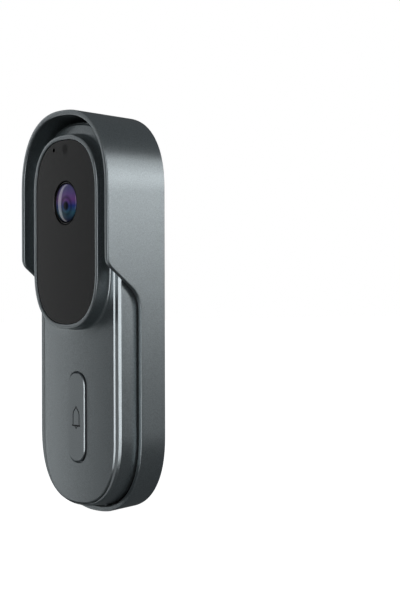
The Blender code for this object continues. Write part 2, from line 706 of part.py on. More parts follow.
def build_button_seal():
    """Silicone pad in the plate's opening, round the switch plunger."""
    half = BUTTON_WIDTH / 2 - 2 * GAP
    outline = rectangle(-half, half, BUTTON_Z - SEAL_HALF + GAP, BUTTON_Z + SEAL_HALF - GAP)
    seal = flat("button_seal", [outline], PLATE_DEPTH + 0.5 * MM, PLATE_FRONT - 0.1 * MM)
    cut(seal, rod_mesh("seal_hole", 0, BUTTON_Z, PLATE_DEPTH, PLATE_FRONT + CUT,
                       PLUNGER + GAP))
    return finish(seal, (0.05, 0.05, 0.055), 0.85)


def build_tact_switch():
    """Tactile switch on the main board and the plunger that the button presses."""
    back = BOARD_FRONT + GAP
    front = PLATE_DEPTH + 0.2 * MM
    half = TACT_SIDE / 2
    switch = box("tact_switch", -half, half, back, front, BUTTON_Z - half, BUTTON_Z + half)
    shift = Matrix.Translation(-switch.location)
    bore = rod_mesh("plunger_bore", 0, BUTTON_Z, back + PLUNGER_SEAT, front + CUT, PLUNGER + GAP)
    bore.transform(shift)
    cut(switch, bore).location = switch.location
    finish(switch, BLACK_PLASTIC, 0.4)
    plunger = rod("tact_plunger", 0, BUTTON_Z, back + PLUNGER_SEAT + BUTTON_TRAVEL + GAP / 2,
                  lip_back() - GAP, PLUNGER)
    return finish(plunger, (0.75, 0.72, 0.66), 0.4)


def build_front_panel():
    """Black glass panel let into the pod's rim, with a round lens window."""
    inset = POD_RIM + GAP / 2
    outline = capsule(POD_HALF - inset, POD_LOW + inset, POD_TOP - inset, POD_POWER)
    panel = flat("front_panel", [outline], PANEL_BACK, PANEL_FRONT)
    cut(panel, rod_mesh("lens_window", 0, LENS_Z, PANEL_BACK - CUT, PANEL_FRONT + CUT,
                        LENS_WINDOW, segments=48))
    cut(panel, rod_mesh("mic_hole", -MIC_OFFSET, POD_TOP - MIC_DROP, PANEL_BACK - CUT,
                        PANEL_FRONT + CUT, MIC_HOLE, segments=12))
    return finish(panel, (0.028, 0.028, 0.03), 0.12)


def build_lens():
    """Trim ring, barrel, two glass elements and the threaded holder of the camera."""
    outer = LENS_WINDOW - GAP
    trim = turned("lens_trim", 0, LENS_Z, [
        (outer - 0.3 * MM, PANEL_FRONT - 0.2 * MM), (outer, PANEL_FRONT - 0.5 * MM),
        (outer, barrel_front() + GAP), (outer - TRIM_WALL, barrel_front() + GAP),
        (outer - TRIM_WALL, PANEL_FRONT - 0.6 * MM)], 48)
    finish(trim, BLACK_PLASTIC, 0.3)
    bore = BARREL_THREAD - BARREL_WALL - 0.2 * MM
    throat = PLATE_DEPTH + 4.0 * MM
    barrel = turned("lens_barrel", 0, LENS_Z, [
        (BARREL_HEAD, barrel_front()), (BARREL_HEAD, barrel_shoulder()),
        (BARREL_THREAD, barrel_shoulder()), (BARREL_THREAD, barrel_back()),
        (bore, barrel_back()), (bore, throat), (BARREL_HEAD - BARREL_WALL, throat),
        (BARREL_HEAD - BARREL_WALL, barrel_front())], 32)
    finish(barrel, BLACK_PLASTIC, 0.35)
    rim = BARREL_HEAD - BARREL_WALL - GAP
    edge = PANEL_FRONT - DOME_SINK
    dome = []
    for step in range(1, 8):
        angle = step * math.pi / 16
        dome.append((DOME_RADIUS * math.sin(angle), edge + DOME_SAG * math.cos(angle)))
    front = turned("front_element", 0, LENS_Z, [(0, edge + DOME_SAG)] + dome + [
        (DOME_RADIUS, edge), (DOME_RADIUS, barrel_front() + GAP),
        (rim, barrel_front() + GAP), (rim, throat + GAP), (0, throat + GAP)], 40)
    finish(front, (0.08, 0.06, 0.14), 0.05)
    inner = bore - GAP
    rear = turned("rear_element", 0, LENS_Z, [
        (0, throat - 0.8 * MM), (inner * 0.6, throat - 1.1 * MM), (inner, throat - 1.8 * MM),
        (inner, throat - 3.2 * MM), (0, throat - 3.2 * MM)], 32)
    return finish(rear, (0.06, 0.09, 0.12), 0.05)


def barrel_front():
    """Depth of the lens barrel's front rim."""
    return PANEL_BACK - 1.0 * MM


def barrel_shoulder():
    """Depth where the barrel's thread meets its head."""
    return PLATE_DEPTH + 2.9 * MM


def barrel_back():
    """Depth of the barrel's inner end."""
    return BOARD_FRONT + 0.3 * MM


def sensor_front():
    """Depth of the front of the small camera board."""
    return INNER_BACK + 3.2 * MM


def shuttle_back():
    """Depth of the back of the filter shuttle."""
    return sensor_front() + 3.1 * MM


def build_camera_frame():
    """Bracket that carries the camera board on two posts."""
    back = shuttle_back() + SHUTTLE_SHEET + GAP
    front = PLATE_DEPTH - GAP
    half = FRAME_SIDE / 2
    frame = box("camera_frame", -half, half, back, front, FRAME_LOW, FRAME_LOW + FRAME_SIDE)
    frame.data.transform(Matrix.Translation(frame.location))
    frame.location = (0, 0, 0)
    holder = BARREL_THREAD + GAP + HOLDER_WALL
    cut(frame, rod_mesh("holder_hole", 0, LENS_Z, back - CUT, front + CUT, holder + GAP, 40))
    for side in (-1, 1):
        x = side * POST_OFFSET
        z = LENS_Z + side * POST_OFFSET
        join(frame, rod_mesh("post", x, z, sensor_front() + GAP, back + 0.5 * MM, 1.9 * MM))
        cut(frame, rod_mesh("post_thread", x, z, sensor_front() - CUT, back, SMALL_HOLE, 16))
    return finish(frame, BLACK_PLASTIC, 0.6)


def build_camera_board():
    """Camera board with its image sensor, screws and filter-switching coil."""
    front = sensor_front()
    back = front - 1.0 * MM
    half = SENSOR_BOARD / 2
    board = box("sensor_board", -half, half, back, front, LENS_Z - half, LENS_Z + half)
    board.data.transform(Matrix.Translation(board.location))
    board.location = (0, 0, 0)
    for name, side in (("upper", 1), ("lower", -1)):
        x = side * POST_OFFSET
        z = LENS_Z + side * POST_OFFSET
        cut(board, rod_mesh("screw_hole", x, z, back - CUT, front + CUT, SMALL_HOLE, 16))
        screw = rod("camera_screw_" + name, x, z, back - 0.6 * MM, front + 2.4 * MM,
                    0.8 * MM, 16)
        head = rod_mesh("head", x, z, back - 1.2 * MM, back - GAP, 1.6 * MM)
        head.transform(Matrix.Translation(-screw.location))
        join(screw, head).location = screw.location
        finish(screw, STEEL, 0.35, 1.0)
    finish(board, GREEN_BOARD, 0.45)
    side = SENSOR_SIDE / 2
    sensor = box("image_sensor", -side, side, front + GAP, front + 1.2 * MM,
                 LENS_Z - side, LENS_Z + side)
    finish(sensor, (0.1, 0.11, 0.13), 0.15)
    coil_low = LENS_Z + BARREL_THREAD + GAP + HOLDER_WALL + 1.1 * MM
    coil = box("filter_coil", -5 * MM, 5 * MM, front + GAP, shuttle_back() - GAP,
               coil_low, LENS_Z + half - GAP)
    return finish(coil, (0.32, 0.14, 0.06), 0.35, 0.8)


def build_lens_holder():
    """Round threaded holder over the sensor, slotted for the filter shuttle."""
    bore = BARREL_THREAD + GAP
    front = PLATE_DEPTH + 2.6 * MM
    back = sensor_front() + GAP
    outer = bore + HOLDER_WALL
    holder = turned("lens_holder", 0, LENS_Z, [
        (outer, front), (outer, back), (bore, back), (bore, front)], 40)
    half = FILTER_SIDE / 2 + 2 * GAP + 0.6 * MM
    slot = box_mesh("shuttle_slot", -outer - CUT, outer + CUT, shuttle_back() - GAP,
                    shuttle_back() + SHUTTLE_SHEET + GAP, LENS_Z - half - GAP,
                    LENS_Z + half + GAP)
    cut(holder, slot)
    return finish(holder, BLACK_PLASTIC, 0.55)


def build_filter_shuttle():
    """Sliding frame with the night filter and the clear glass side by side."""
    window = FILTER_SIDE / 2 + GAP
    edge = 0.9 * MM
    back = shuttle_back()
    front = back + SHUTTLE_SHEET
    sheet = [rectangle(-SHUTTLE_STROKE - window - edge, window + edge,
                       LENS_Z - window - edge, LENS_Z + window + edge)]
    for x in (0, -SHUTTLE_STROKE):
        sheet.append(rectangle(x - window, x + window, LENS_Z - window, LENS_Z + window))
    shuttle = flat("filter_shuttle", sheet, back, front, (0, -back, LENS_Z))
    finish(shuttle, (0.12, 0.12, 0.13), 0.5)
    half = FILTER_SIDE / 2
    for name, x, tint in (("infrared_filter", 0, (0.05, 0.14, 0.2)),
                          ("clear_filter", -SHUTTLE_STROKE, (0.5, 0.55, 0.56))):
        glass = box(name, x - half, x + half, back + 0.1 * MM, front - 0.1 * MM,
                    LENS_Z - half, LENS_Z + half)
        finish(glass, tint, 0.05)


def build_infrared_board():
    """Ring board behind the black panel with lamps, light sensor and microphone."""
    inset = POD_RIM + POD_SEAT + 0.9 * MM
    low = LENS_Z - LED_OFFSET - LAMP_MARGIN
    back = COVER_DEPTH - 0.2 * MM
    front = back + 1.0 * MM
    outline = capsule(POD_HALF - inset, low, POD_TOP - inset, POD_POWER)
    board = flat("infrared_board", [outline], back, front)
    cut(board, rod_mesh("seal_hole", 0, LENS_Z, back - CUT, front + CUT,
                        BARREL_HEAD + 2.2 * MM, 40))
    finish(board, GREEN_BOARD, 0.45)
    top = PANEL_BACK - 2 * GAP
    for name, side in (("left", -1), ("right", 1)):
        lamp = turned("infrared_lamp_" + name, side * LED_OFFSET, LENS_Z, [
            (0, top), (0.9 * MM, top - 0.3 * MM), (1.4 * MM, top - 0.9 * MM),
            (1.4 * MM, front + GAP), (0, front + GAP)], 20)
        finish(lamp, (0.35, 0.3, 0.38), 0.1)
    z = POD_TOP - LIGHT_SENSOR_DROP - 1.2 * MM
    cell = rod("light_sensor", 0, z, front + GAP, front + 1.3 * MM, 1.6 * MM, 20)
    finish(cell, (0.05, 0.05, 0.06), 0.15)
    z = POD_TOP - MIC_DROP
    capsule_front = front + 1.3 * MM
    mic = box("microphone", -MIC_OFFSET - 1.3 * MM, -MIC_OFFSET + 2.1 * MM, front + GAP,
              capsule_front, z - 1.9 * MM, z + 0.7 * MM)
    finish(mic, (0.7, 0.66, 0.5), 0.3, 1.0)
    boot = turned("mic_boot", -MIC_OFFSET, z, [
        (1.5 * MM, PANEL_BACK - GAP), (1.5 * MM, capsule_front + GAP),
        (0.6 * MM, capsule_front + GAP), (0.6 * MM, PANEL_BACK - GAP)], 20)
    finish(boot, (0.03, 0.03, 0.032), 0.85)
    seal = turned("light_seal", 0, LENS_Z, [
        (BARREL_HEAD + 1.8 * MM, PANEL_BACK - GAP),
        (BARREL_HEAD + 1.8 * MM, barrel_shoulder()), (BARREL_HEAD + GAP, barrel_shoulder()),
        (BARREL_HEAD + GAP, barrel_front() - 0.4 * MM),
        (BARREL_HEAD + 0.8 * MM, barrel_front() - 0.1 * MM),
        (BARREL_HEAD + 0.8 * MM, PANEL_BACK - GAP)], 40)
    return finish(seal, (0.015, 0.015, 0.016), 0.95)


def build_main_board():
    """Main circuit board with its radio shield, screws and battery connector."""
    half = BATTERY_HALF
    outline = capsule(half, BOARD_LOW - 3.0 * MM, BOARD_TOP, END_POWER, 8.0 * MM)
    board = flat("main_board", [outline], BOARD_BACK, BOARD_FRONT)
    reach = PORT_WIDTH / 2 + 2 * GAP
    cut(board, box_mesh("port_notch", -reach, reach, BOARD_BACK - CUT, BOARD_FRONT + CUT,
                        BOARD_LOW - 5 * MM, BOARD_LOW))
    for index, (x, z) in enumerate(board_screw_places(), 1):
        cut(board, rod_mesh("board_hole", x, z, BOARD_BACK - CUT, BOARD_FRONT + CUT,
                            SMALL_HOLE, 16))
        screw = rod(f"board_screw_{index}", x, z, BOARD_BACK - 0.6 * MM,
                    PLATE_DEPTH - GAP, SMALL_SHANK, 16)
        head = rod_mesh("head", x, z, BOARD_BACK - 1.3 * MM, BOARD_BACK - GAP,
                        SCREW_HEAD_SMALL)
        head.transform(Matrix.Translation(-screw.location))
        join(screw, head).location = screw.location
        finish(screw, STEEL, 0.35, 1.0)
    finish(board, GREEN_BOARD, 0.45)
    shield_low = BUTTON_Z + SHIELD_RISE
    shield = box("radio_shield", -SHIELD_HALF, SHIELD_HALF, BOARD_FRONT + GAP, PLATE_DEPTH - GAP,
                 shield_low, shield_low + SHIELD_HEIGHT)
    finish(shield, STEEL, 0.3, 1.0)
    screw_x = board_screw_places()[1][0]
    plug = box("battery_connector", -screw_x + SCREW_HEAD_SMALL + PLUG_TO_SCREW,
               -BACK_SWITCH_HALF - PLUG_TO_SWITCH, BOARD_BACK - 2.8 * MM,
               BOARD_BACK - GAP, BACK_SWITCH_Z - 2.2 * MM, BACK_SWITCH_Z + 2.2 * MM)
    return finish(plug, (0.8, 0.78, 0.72), 0.5)


def build_battery():
    """Flat lithium-polymer pack behind the main board."""
    pack = box("battery_pack", -BATTERY_HALF, BATTERY_HALF, BATTERY_BACK, BATTERY_FRONT,
               BATTERY_LOW, BATTERY_TOP)
    bevel = pack.modifiers.new("soft_edges", "BEVEL")
    bevel.width = 1.2 * MM
    bevel.segments = 2
    return finish(pack, (0.35, 0.36, 0.38), 0.35, 0.6)


def build_speaker():
    """Speaker: a ring frame and the cone set in it, facing the sound holes."""
    back = INNER_BACK + 0.9 * MM
    front = back + SPEAKER_THICK
    ring = turned("speaker_frame", 0, SPEAKER_Z, [
        (0, front), (SPEAKER_RADIUS * 0.6, front), (SPEAKER_RADIUS, front - 1.5 * MM),
        (SPEAKER_RADIUS, back), (SPEAKER_RADIUS - 1.0 * MM, back),
        (SPEAKER_RADIUS - 1.0 * MM, back + 1.4 * MM), (0, back + 1.4 * MM)], 36)
    finish(ring, (0.2, 0.2, 0.21), 0.4, 0.8)
    cone = turned("speaker_cone", 0, SPEAKER_Z, [
        (0, back + 1.1 * MM), (SPEAKER_RADIUS - 1.3 * MM, back + 1.1 * MM),
        (SPEAKER_RADIUS - 1.3 * MM, back + 0.4 * MM), (SPEAKER_RADIUS * 0.4, back + 0.7 * MM),
        (0, back + 0.2 * MM)], 36)
    return finish(cone, (0.05, 0.05, 0.05), 0.7)


def flap_back():
    """Depth of the free edge of the charging flap."""
    return RIM_DEPTH + UNIT_GAP


def flap_front():
    """Depth of the hinged edge of the charging flap."""
    return PORT_DEPTH + PORT_THICK / 2 + 1.0 * MM


def flap_inner():
    """Height of the charging flap's inner face."""
    return -UNIT_TIP + 0.65 * MM + FLAP_THICK


def build_charging_port():
    """USB-C socket in the bottom wall, and the rubber flap that closes it."""
    low = flap_inner() + 3 * GAP
    half = PORT_THICK / 2
    port = box("charging_port", -PORT_WIDTH / 2, PORT_WIDTH / 2, PORT_DEPTH - half,
               PORT_DEPTH + half, low, BOARD_LOW - GAP)
    port.data.transform(Matrix.Translation(port.location))
    port.location = (0, 0, 0)
    wall = 0.4 * MM
    cut(port, box_mesh("socket", -PORT_WIDTH / 2 + wall, PORT_WIDTH / 2 - wall,
                       PORT_DEPTH - half + wall, PORT_DEPTH + half - wall, low - CUT,
                       BOARD_LOW - 1.2 * MM))
    join(port, box_mesh("contact_tongue", -3.3 * MM, 3.3 * MM, PORT_DEPTH - 0.35 * MM,
                        PORT_DEPTH + 0.35 * MM, low + 1.0 * MM, BOARD_LOW - 1.0 * MM))
    finish(port, STEEL, 0.3, 1.0)
    inner = flap_inner()
    flap = box("charging_flap", -FLAP_WIDTH / 2, FLAP_WIDTH / 2, flap_back(), flap_front(),
               inner - FLAP_THICK, inner)
    hinge = Vector((0, -flap_front(), inner - FLAP_THICK / 2))
    flap.data.transform(Matrix.Translation(flap.location - hinge))
    flap.location = hinge
    plug = box_mesh("plug", -3.6 * MM, 3.6 * MM, PORT_DEPTH - 0.8 * MM, PORT_DEPTH + 0.8 * MM,
                    inner - FLAP_THICK / 2, inner + GAP)
    plug.transform(Matrix.Translation(-hinge))
    join(flap, plug).location = hinge
    return finish(flap, (0.03, 0.03, 0.032), 0.85)


def back_switch(name, x, stem_back, stem_radius, flange_back, stem_front):
    """Stem with a flange, pushed through the doorbell's back."""
    stem = rod(name, x, BACK_SWITCH_Z, stem_back, stem_front, stem_radius, 20)
    flange = rod_mesh("flange", x, BACK_SWITCH_Z, flange_back, flange_back + 0.7 * MM,
                      stem_radius + 0.8 * MM, 20)
    flange.transform(Matrix.Translation(-stem.location))
    join(stem, flange).location = stem.location
    return stem


def build_back_switches():
    """Reset button and tamper plunger, each with its switch on the main board."""
    half = BACK_SWITCH_HALF
    low = BACK_SWITCH_Z - half
    high = BACK_SWITCH_Z + half
    switch_back = BOARD_BACK - 2.6 * MM
    stem_end = switch_back - GAP - RESET_TRAVEL
    reset = back_switch("reset_button", 0, UNIT_BACK + GAP, 1.2 * MM, INNER_BACK + GAP,
                        stem_end)
    finish(reset, (0.6, 0.08, 0.06), 0.5)
    finish(box("reset_switch", -half, half, switch_back, BOARD_BACK - GAP, low, high),
           BLACK_PLASTIC, 0.4)
    tamper = back_switch("tamper_plunger", TAMPER_X, BRACKET_FRONT + GAP, 1.4 * MM,
                         INNER_BACK + GAP + TAMPER_TRAVEL, switch_back - GAP)
    finish(tamper, (0.7, 0.7, 0.68), 0.5)
    finish(box("tamper_switch", TAMPER_X - half, TAMPER_X + half, switch_back,
               BOARD_BACK - GAP, low, high), BLACK_PLASTIC, 0.4)


def build_antenna():
    """Flexible aerial laid on the inside of the rear housing's top."""
    low = END_CENTRE + TONGUE_RISE
    half = TONGUE_X - AERIAL_INSET
    aerial = box("wifi_antenna", -half, half, INNER_BACK + GAP, INNER_BACK + AERIAL_THICK + GAP,
                 low, UNIT_TOP - AERIAL_DROP)
    return finish(aerial, (0.3, 0.16, 0.05), 0.4, 0.5)


build_rain_hood()
build_wall_bracket()
build_security_screw()
build_rear_housing()
build_housing_gasket()
build_front_housing()
build_housing_screws()
build_front_cover()
build_bell_button()
build_button_seal()
build_tact_switch()
build_front_panel()
build_lens()
build_camera_frame()
build_camera_board()
build_lens_holder()
build_filter_shuttle()
build_infrared_board()
build_main_board()
build_battery()
build_speaker()
build_charging_port()
build_back_switches()
build_antenna()
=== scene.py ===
"""Studio model of a battery video doorbell in its wall-mounted rain hood.

Metres, +Z up.  The wall is the plane y = 0 and the doorbell looks along -Y, so a
"depth" below is a distance in front of the wall: y = -depth.
"""
import json
import math

import bmesh
import bpy
from mathutils import Matrix, Vector


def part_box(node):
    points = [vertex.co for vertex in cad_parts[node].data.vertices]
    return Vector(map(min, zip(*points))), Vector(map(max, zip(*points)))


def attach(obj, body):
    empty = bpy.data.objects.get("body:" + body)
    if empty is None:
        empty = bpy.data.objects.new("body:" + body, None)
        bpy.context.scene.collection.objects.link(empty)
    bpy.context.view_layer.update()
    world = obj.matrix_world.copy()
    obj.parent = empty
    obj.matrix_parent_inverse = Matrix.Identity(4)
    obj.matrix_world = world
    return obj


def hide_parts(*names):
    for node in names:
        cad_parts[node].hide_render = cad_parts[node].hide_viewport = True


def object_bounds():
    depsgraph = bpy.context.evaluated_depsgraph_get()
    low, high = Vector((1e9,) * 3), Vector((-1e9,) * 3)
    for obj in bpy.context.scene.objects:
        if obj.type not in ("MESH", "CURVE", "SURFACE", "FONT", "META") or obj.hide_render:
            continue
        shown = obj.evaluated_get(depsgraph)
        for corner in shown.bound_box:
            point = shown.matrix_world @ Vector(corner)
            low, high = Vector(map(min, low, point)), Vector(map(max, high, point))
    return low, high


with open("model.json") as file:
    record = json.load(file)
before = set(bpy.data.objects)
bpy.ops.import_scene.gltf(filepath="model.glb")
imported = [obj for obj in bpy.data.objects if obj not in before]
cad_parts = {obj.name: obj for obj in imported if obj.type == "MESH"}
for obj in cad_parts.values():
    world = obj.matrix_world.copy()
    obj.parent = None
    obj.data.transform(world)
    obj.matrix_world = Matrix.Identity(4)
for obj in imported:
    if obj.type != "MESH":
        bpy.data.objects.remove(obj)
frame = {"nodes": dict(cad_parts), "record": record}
cad_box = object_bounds()
scene = bpy.context.scene

# --- Camera -------------------------------------------------------------------------
# A long lens at eye height, well to the doorbell's right and tipped down a little, so
# that the stepped side of the hood shows as well as the front.
CAMERA_PLACE = Vector((0.5815, -0.3794, 0.0102))
CAMERA_TURN = 0.94875
CAMERA_PITCH = -0.00868
CAMERA_ROLL = -0.00293
CAMERA_LENS = 109.66
CAMERA_NEAR = 0.01

camera = bpy.data.objects.new("camera", bpy.data.cameras.new("camera"))
camera.data.lens = CAMERA_LENS
camera.data.clip_start = CAMERA_NEAR
camera.matrix_world = (Matrix.Translation(CAMERA_PLACE)
                       @ Matrix.Rotation(CAMERA_TURN, 4, "Z")
                       @ Matrix.Rotation(math.pi / 2 + CAMERA_PITCH, 4, "X")
                       @ Matrix.Rotation(CAMERA_ROLL, 4, "Z"))
scene.collection.objects.link(camera)
scene.camera = camera
scene.view_settings.view_transform = "Standard"

# --- Studio -------------------------------------------------------------------------
# A white sweep under and behind the doorbell, and five softboxes: two behind on the
# right for the hood's side, one in front on the right for the bevels, two on the left
# for the front faces.  Straight ahead stays dark, so curved faces keep their contrast.
FLOOR_HALF = 3.0
FLOOR_DROP = 0.0002         # the floor lies this far under the doorbell
PAPER_GLOW = 0.97           # the sweep's own light, which the camera sees as white
AMBIENT = 0.092             # brightness of the room where no lamp shows
CEILING = 0.144
CEILING_FROM = 0.25         # the room brightens to CEILING between these two heights
CEILING_FULL = 0.7          # of the view direction, where 1 is straight up
# Azimuth in degrees from straight ahead, height, distance, width and height of the
# box in metres, and radiance.
SOFTBOXES = {
    "side_box": (122, 0.20, 1.0, 0.3, 0.28, 3.2),
    "side_top_box": (122, 0.52, 1.0, 0.3, 0.28, 2.1),
    "bevel_box": (38, 0.10, 1.2, 0.5, 1.4, 3.0),
    "front_box": (-58, 0.12, 1.1, 0.2, 1.5, 0.12),
    "left_box": (-68, 0.12, 1.1, 0.2, 1.5, 1.2),
}


def add_node(tree, kind, settings=None, links=None):
    """Add a shader node, set its properties and input values, and link its inputs."""
    made = tree.nodes.new(kind)
    for name, value in (settings or {}).items():
        if name == "stops":
            ramp = made.color_ramp.elements
            for place, colour in value[len(ramp):]:
                ramp.new(place)
            for element, (place, colour) in zip(ramp, value):
                element.position = place
                element.color = colour
        elif isinstance(name, int) or name in made.inputs:
            made.inputs[name].default_value = value
        else:
            setattr(made, name, value)
    for name, source in (links or {}).items():
        tree.links.new(source, made.inputs[name])
    return made


def hex_colour(code):
    """Linear RGBA of an sRGB hex colour such as "#8a9094"."""
    channels = [int(code[place:place + 2], 16) / 255 for place in (1, 3, 5)]
    linear = [share / 12.92 if share <= 0.04045 else ((share + 0.055) / 1.055) ** 2.4
              for share in channels]
    return (*linear, 1.0)


world = bpy.data.worlds.new("white_studio")
world.use_nodes = True
scene.world = world
tree = world.node_tree
tree.nodes.clear()
seen = add_node(tree, "ShaderNodeBackground", {"Color": (1, 1, 1, 1), "Strength": 1.0})
way = add_node(tree, "ShaderNodeTexCoord")
split = add_node(tree, "ShaderNodeSeparateXYZ", {}, {"Vector": way.outputs["Generated"]})
rise = add_node(tree, "ShaderNodeMapRange",
                {"From Min": CEILING_FROM, "From Max": CEILING_FULL,
                 "To Min": AMBIENT, "To Max": CEILING},
                {"Value": split.outputs["Z"]})
dim = add_node(tree, "ShaderNodeBackground", {"Color": hex_colour("#dfe6ea")},
               {"Strength": rise.outputs["Result"]})
ray = add_node(tree, "ShaderNodeLightPath")
backdrop = add_node(tree, "ShaderNodeMixShader", {},
                    {0: ray.outputs["Is Camera Ray"], 1: dim.outputs[0],
                     2: seen.outputs[0]})
add_node(tree, "ShaderNodeOutputWorld", {}, {"Surface": backdrop.outputs[0]})

mesh = bmesh.new()
bmesh.ops.create_grid(mesh, x_segments=1, y_segments=1, size=FLOOR_HALF)
bmesh.ops.translate(mesh, verts=mesh.verts, vec=(0, 0, cad_box[0][2] - FLOOR_DROP))
floor_mesh = bpy.data.meshes.new("floor")
mesh.to_mesh(floor_mesh)
mesh.free()
floor = bpy.data.objects.new("floor", floor_mesh)
scene.collection.objects.link(floor)
paper = bpy.data.materials.new("white_paper")
paper.use_nodes = True
tree = paper.node_tree
tree.nodes.clear()
glow = add_node(tree, "ShaderNodeEmission",
                {"Color": (1, 1, 1, 1), "Strength": PAPER_GLOW})
sheet = add_node(tree, "ShaderNodeBsdfDiffuse", {"Color": (0.8, 0.8, 0.8, 1)})
lit = add_node(tree, "ShaderNodeAddShader", {}, {0: glow.outputs[0], 1: sheet.outputs[0]})
add_node(tree, "ShaderNodeOutputMaterial", {}, {"Surface": lit.outputs[0]})
floor_mesh.materials.append(paper)
floor.visible_glossy = False
floor.visible_diffuse = False


def softbox(name, azimuth, height, distance, width, tall, radiance):
    """Area light at an azimuth from straight ahead, facing the doorbell's middle."""
    lamp = bpy.data.lights.new(name, "AREA")
    lamp.shape = "RECTANGLE"
    lamp.size = width
    lamp.size_y = tall
    lamp.energy = radiance * math.pi * width * tall
    light = bpy.data.objects.new(name, lamp)
    turn = math.radians(azimuth)
    place = Vector((distance * math.sin(turn), -distance * math.cos(turn), height))
    aim = Vector((0, 0, height)) - place
    facing = aim.to_track_quat("-Z", "Y").to_matrix().to_4x4()
    light.matrix_world = Matrix.Translation(place) @ facing
    light.visible_camera = False
    scene.collection.objects.link(light)


for name, settings in SOFTBOXES.items():
    softbox(name, *settings)

# --- Wall bracket -------------------------------------------------------------------
# The plate that screws to the wall: glass-filled ABS, injection moulded with a
# spark-eroded texture.  It clamps the hood's flange, and its tongues carry the doorbell.
MM = 0.001
WELD = 0.001 * MM           # vertices closer than this are merged
NODE_WELD = 0.002 * MM      # the same for a copy of a CAD node
FLAT_ANGLE = math.radians(1)
SHARP_ANGLE = math.radians(35)
GLOSS_SPREAD = 0.04         # how far the grain moves a finish's roughness either way
GRAIN_NOISE = {"Detail": 3.0, "Roughness": 0.55}
GRAIN_DARK, GRAIN_LIGHT = 0.3, 0.7
GRAIN_RELIEF = 10           # grain width over the height of its bumps
bodies = {node: body for body, members in frame["record"]["behaviour"]["bodies"].items()
          for node in members}


def surface(name, dark, light, grain, roughness, metallic=0.0, relief=0.3, **more):
    """Finish with a fine grain: two colours, a patchy gloss and a shallow relief."""
    finish = bpy.data.materials.new(name)
    finish.use_nodes = True
    tree = finish.node_tree
    shader = tree.nodes["Principled BSDF"]
    shader.inputs["Metallic"].default_value = metallic
    for socket, value in more.items():
        shader.inputs[socket.replace("_", " ")].default_value = value
    place = add_node(tree, "ShaderNodeTexCoord")
    noise = add_node(tree, "ShaderNodeTexNoise",
                     {"Scale": 1 / grain, **GRAIN_NOISE},
                     {"Vector": place.outputs["Object"]})
    shade = add_node(tree, "ShaderNodeValToRGB",
                     {"stops": [(GRAIN_DARK, hex_colour(dark)),
                                (GRAIN_LIGHT, hex_colour(light))]},
                     {"Fac": noise.outputs["Fac"]})
    gloss = add_node(tree, "ShaderNodeMapRange",
                     {"To Min": roughness - GLOSS_SPREAD,
                      "To Max": roughness + GLOSS_SPREAD},
                     {"Value": noise.outputs["Fac"]})
    bump = add_node(tree, "ShaderNodeBump",
                    {"Strength": relief, "Distance": grain / GRAIN_RELIEF},
                    {"Height": noise.outputs["Fac"]})
    tree.links.new(shade.outputs["Color"], shader.inputs["Base Color"])
    tree.links.new(gloss.outputs["Result"], shader.inputs["Roughness"])
    tree.links.new(bump.outputs["Normal"], shader.inputs["Normal"])
    return finish


def place_piece(name, mesh, finish, *nodes, angle=32):
    """Turn a bmesh into a smooth piece that stands for some CAD nodes."""
    data = bpy.data.meshes.new(name)
    mesh.to_mesh(data)
    mesh.free()
    data.materials.append(finish)
    data.shade_smooth()
    data.set_sharp_from_angle(angle=math.radians(angle))
    piece = bpy.data.objects.new(name, data)
    scene.collection.objects.link(piece)
    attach(piece, bodies[nodes[0]])
    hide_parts(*nodes)


def soften(node, finish, width=0.15 * MM):
    """Merge a copy of a CAD node, round its sharp edges and give it its finish."""
    mesh = bmesh.new()
    mesh.from_mesh(frame["nodes"][node].data)
    bmesh.ops.remove_doubles(mesh, verts=mesh.verts, dist=NODE_WELD)
    bmesh.ops.dissolve_limit(mesh, angle_limit=FLAT_ANGLE, verts=mesh.verts,
                             edges=mesh.edges)
    sharp = [edge for edge in mesh.edges
             if edge.is_manifold and edge.calc_face_angle() > SHARP_ANGLE]
    bmesh.ops.bevel(mesh, geom=sharp, offset=width, offset_type="OFFSET", segments=2,
                    profile=0.5, affect="EDGES", clamp_overlap=True, material=-1)
    place_piece(node + "_form", mesh, finish, node)


# Spark-eroded ABS: a matt, pebbled black with grains of about 0.3 mm.
bracket_abs = surface("spark_eroded_abs", "#1b1b1d", "#2a2a2c", 0.3 * MM, 0.6, relief=0.5)
soften("wall_bracket", bracket_abs, 0.2 * MM)

# --- Rain hood ----------------------------------------------------------------------
# One injection moulding in ABS, sprayed gunmetal: a sleeve round the doorbell, a
# flange that the bracket clamps, and a deep hood over the camera that steps down to a
# low rim.  Its set screw runs in a boss inside the bottom.
HOOD_LOW, HOOD_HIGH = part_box("rain_hood")
END_POWER = 2.4            # roundness of the ends: 2 would be an ellipse
# Each outline is a bar: half its width, its low and high ends, and their roundness.
HOOD = (HOOD_HIGH.x, HOOD_LOW.z, HOOD_HIGH.z, END_POWER)
HOOD_DEPTH = -HOOD_LOW.y
RIM_DEPTH = 10.7 * MM
HOOD_WALL = 2.0 * MM
FLANGE = 6.5 * MM
HOOD_EDGE = 0.42 * MM
BACK_EDGE = 0.25 * MM       # small bevel against the wall
EDGE_BAND = 0.4 * MM        # straight strip beside a rounded edge, which keeps it crisp
FLOOR_BEVEL = 0.4 * MM      # bevel in the corner between the wall and the flange
STEP_TOP = Vector((HOOD_DEPTH, 17.85 * MM))
STEP_FOOT = Vector((RIM_DEPTH, 5.9 * MM))
STEP_ROUNDS = (5.0 * MM, 12.0 * MM)
PULL_TOP = 2.1 * MM         # how much lower the top end is at the wall than in front
PULL_LOW = 1.3 * MM         # how much higher the bottom end is at the wall
BOSS_HALF = 3.5 * MM
BOSS_RISE = 3.5 * MM        # height of the boss over the hood's floor
BOSS_DEPTH = 8.6 * MM
BORE = 1.8 * MM             # radius of the hole that the security screw runs in
BORE_FACETS = 48
SCREW_DEPTH = 5.6 * MM
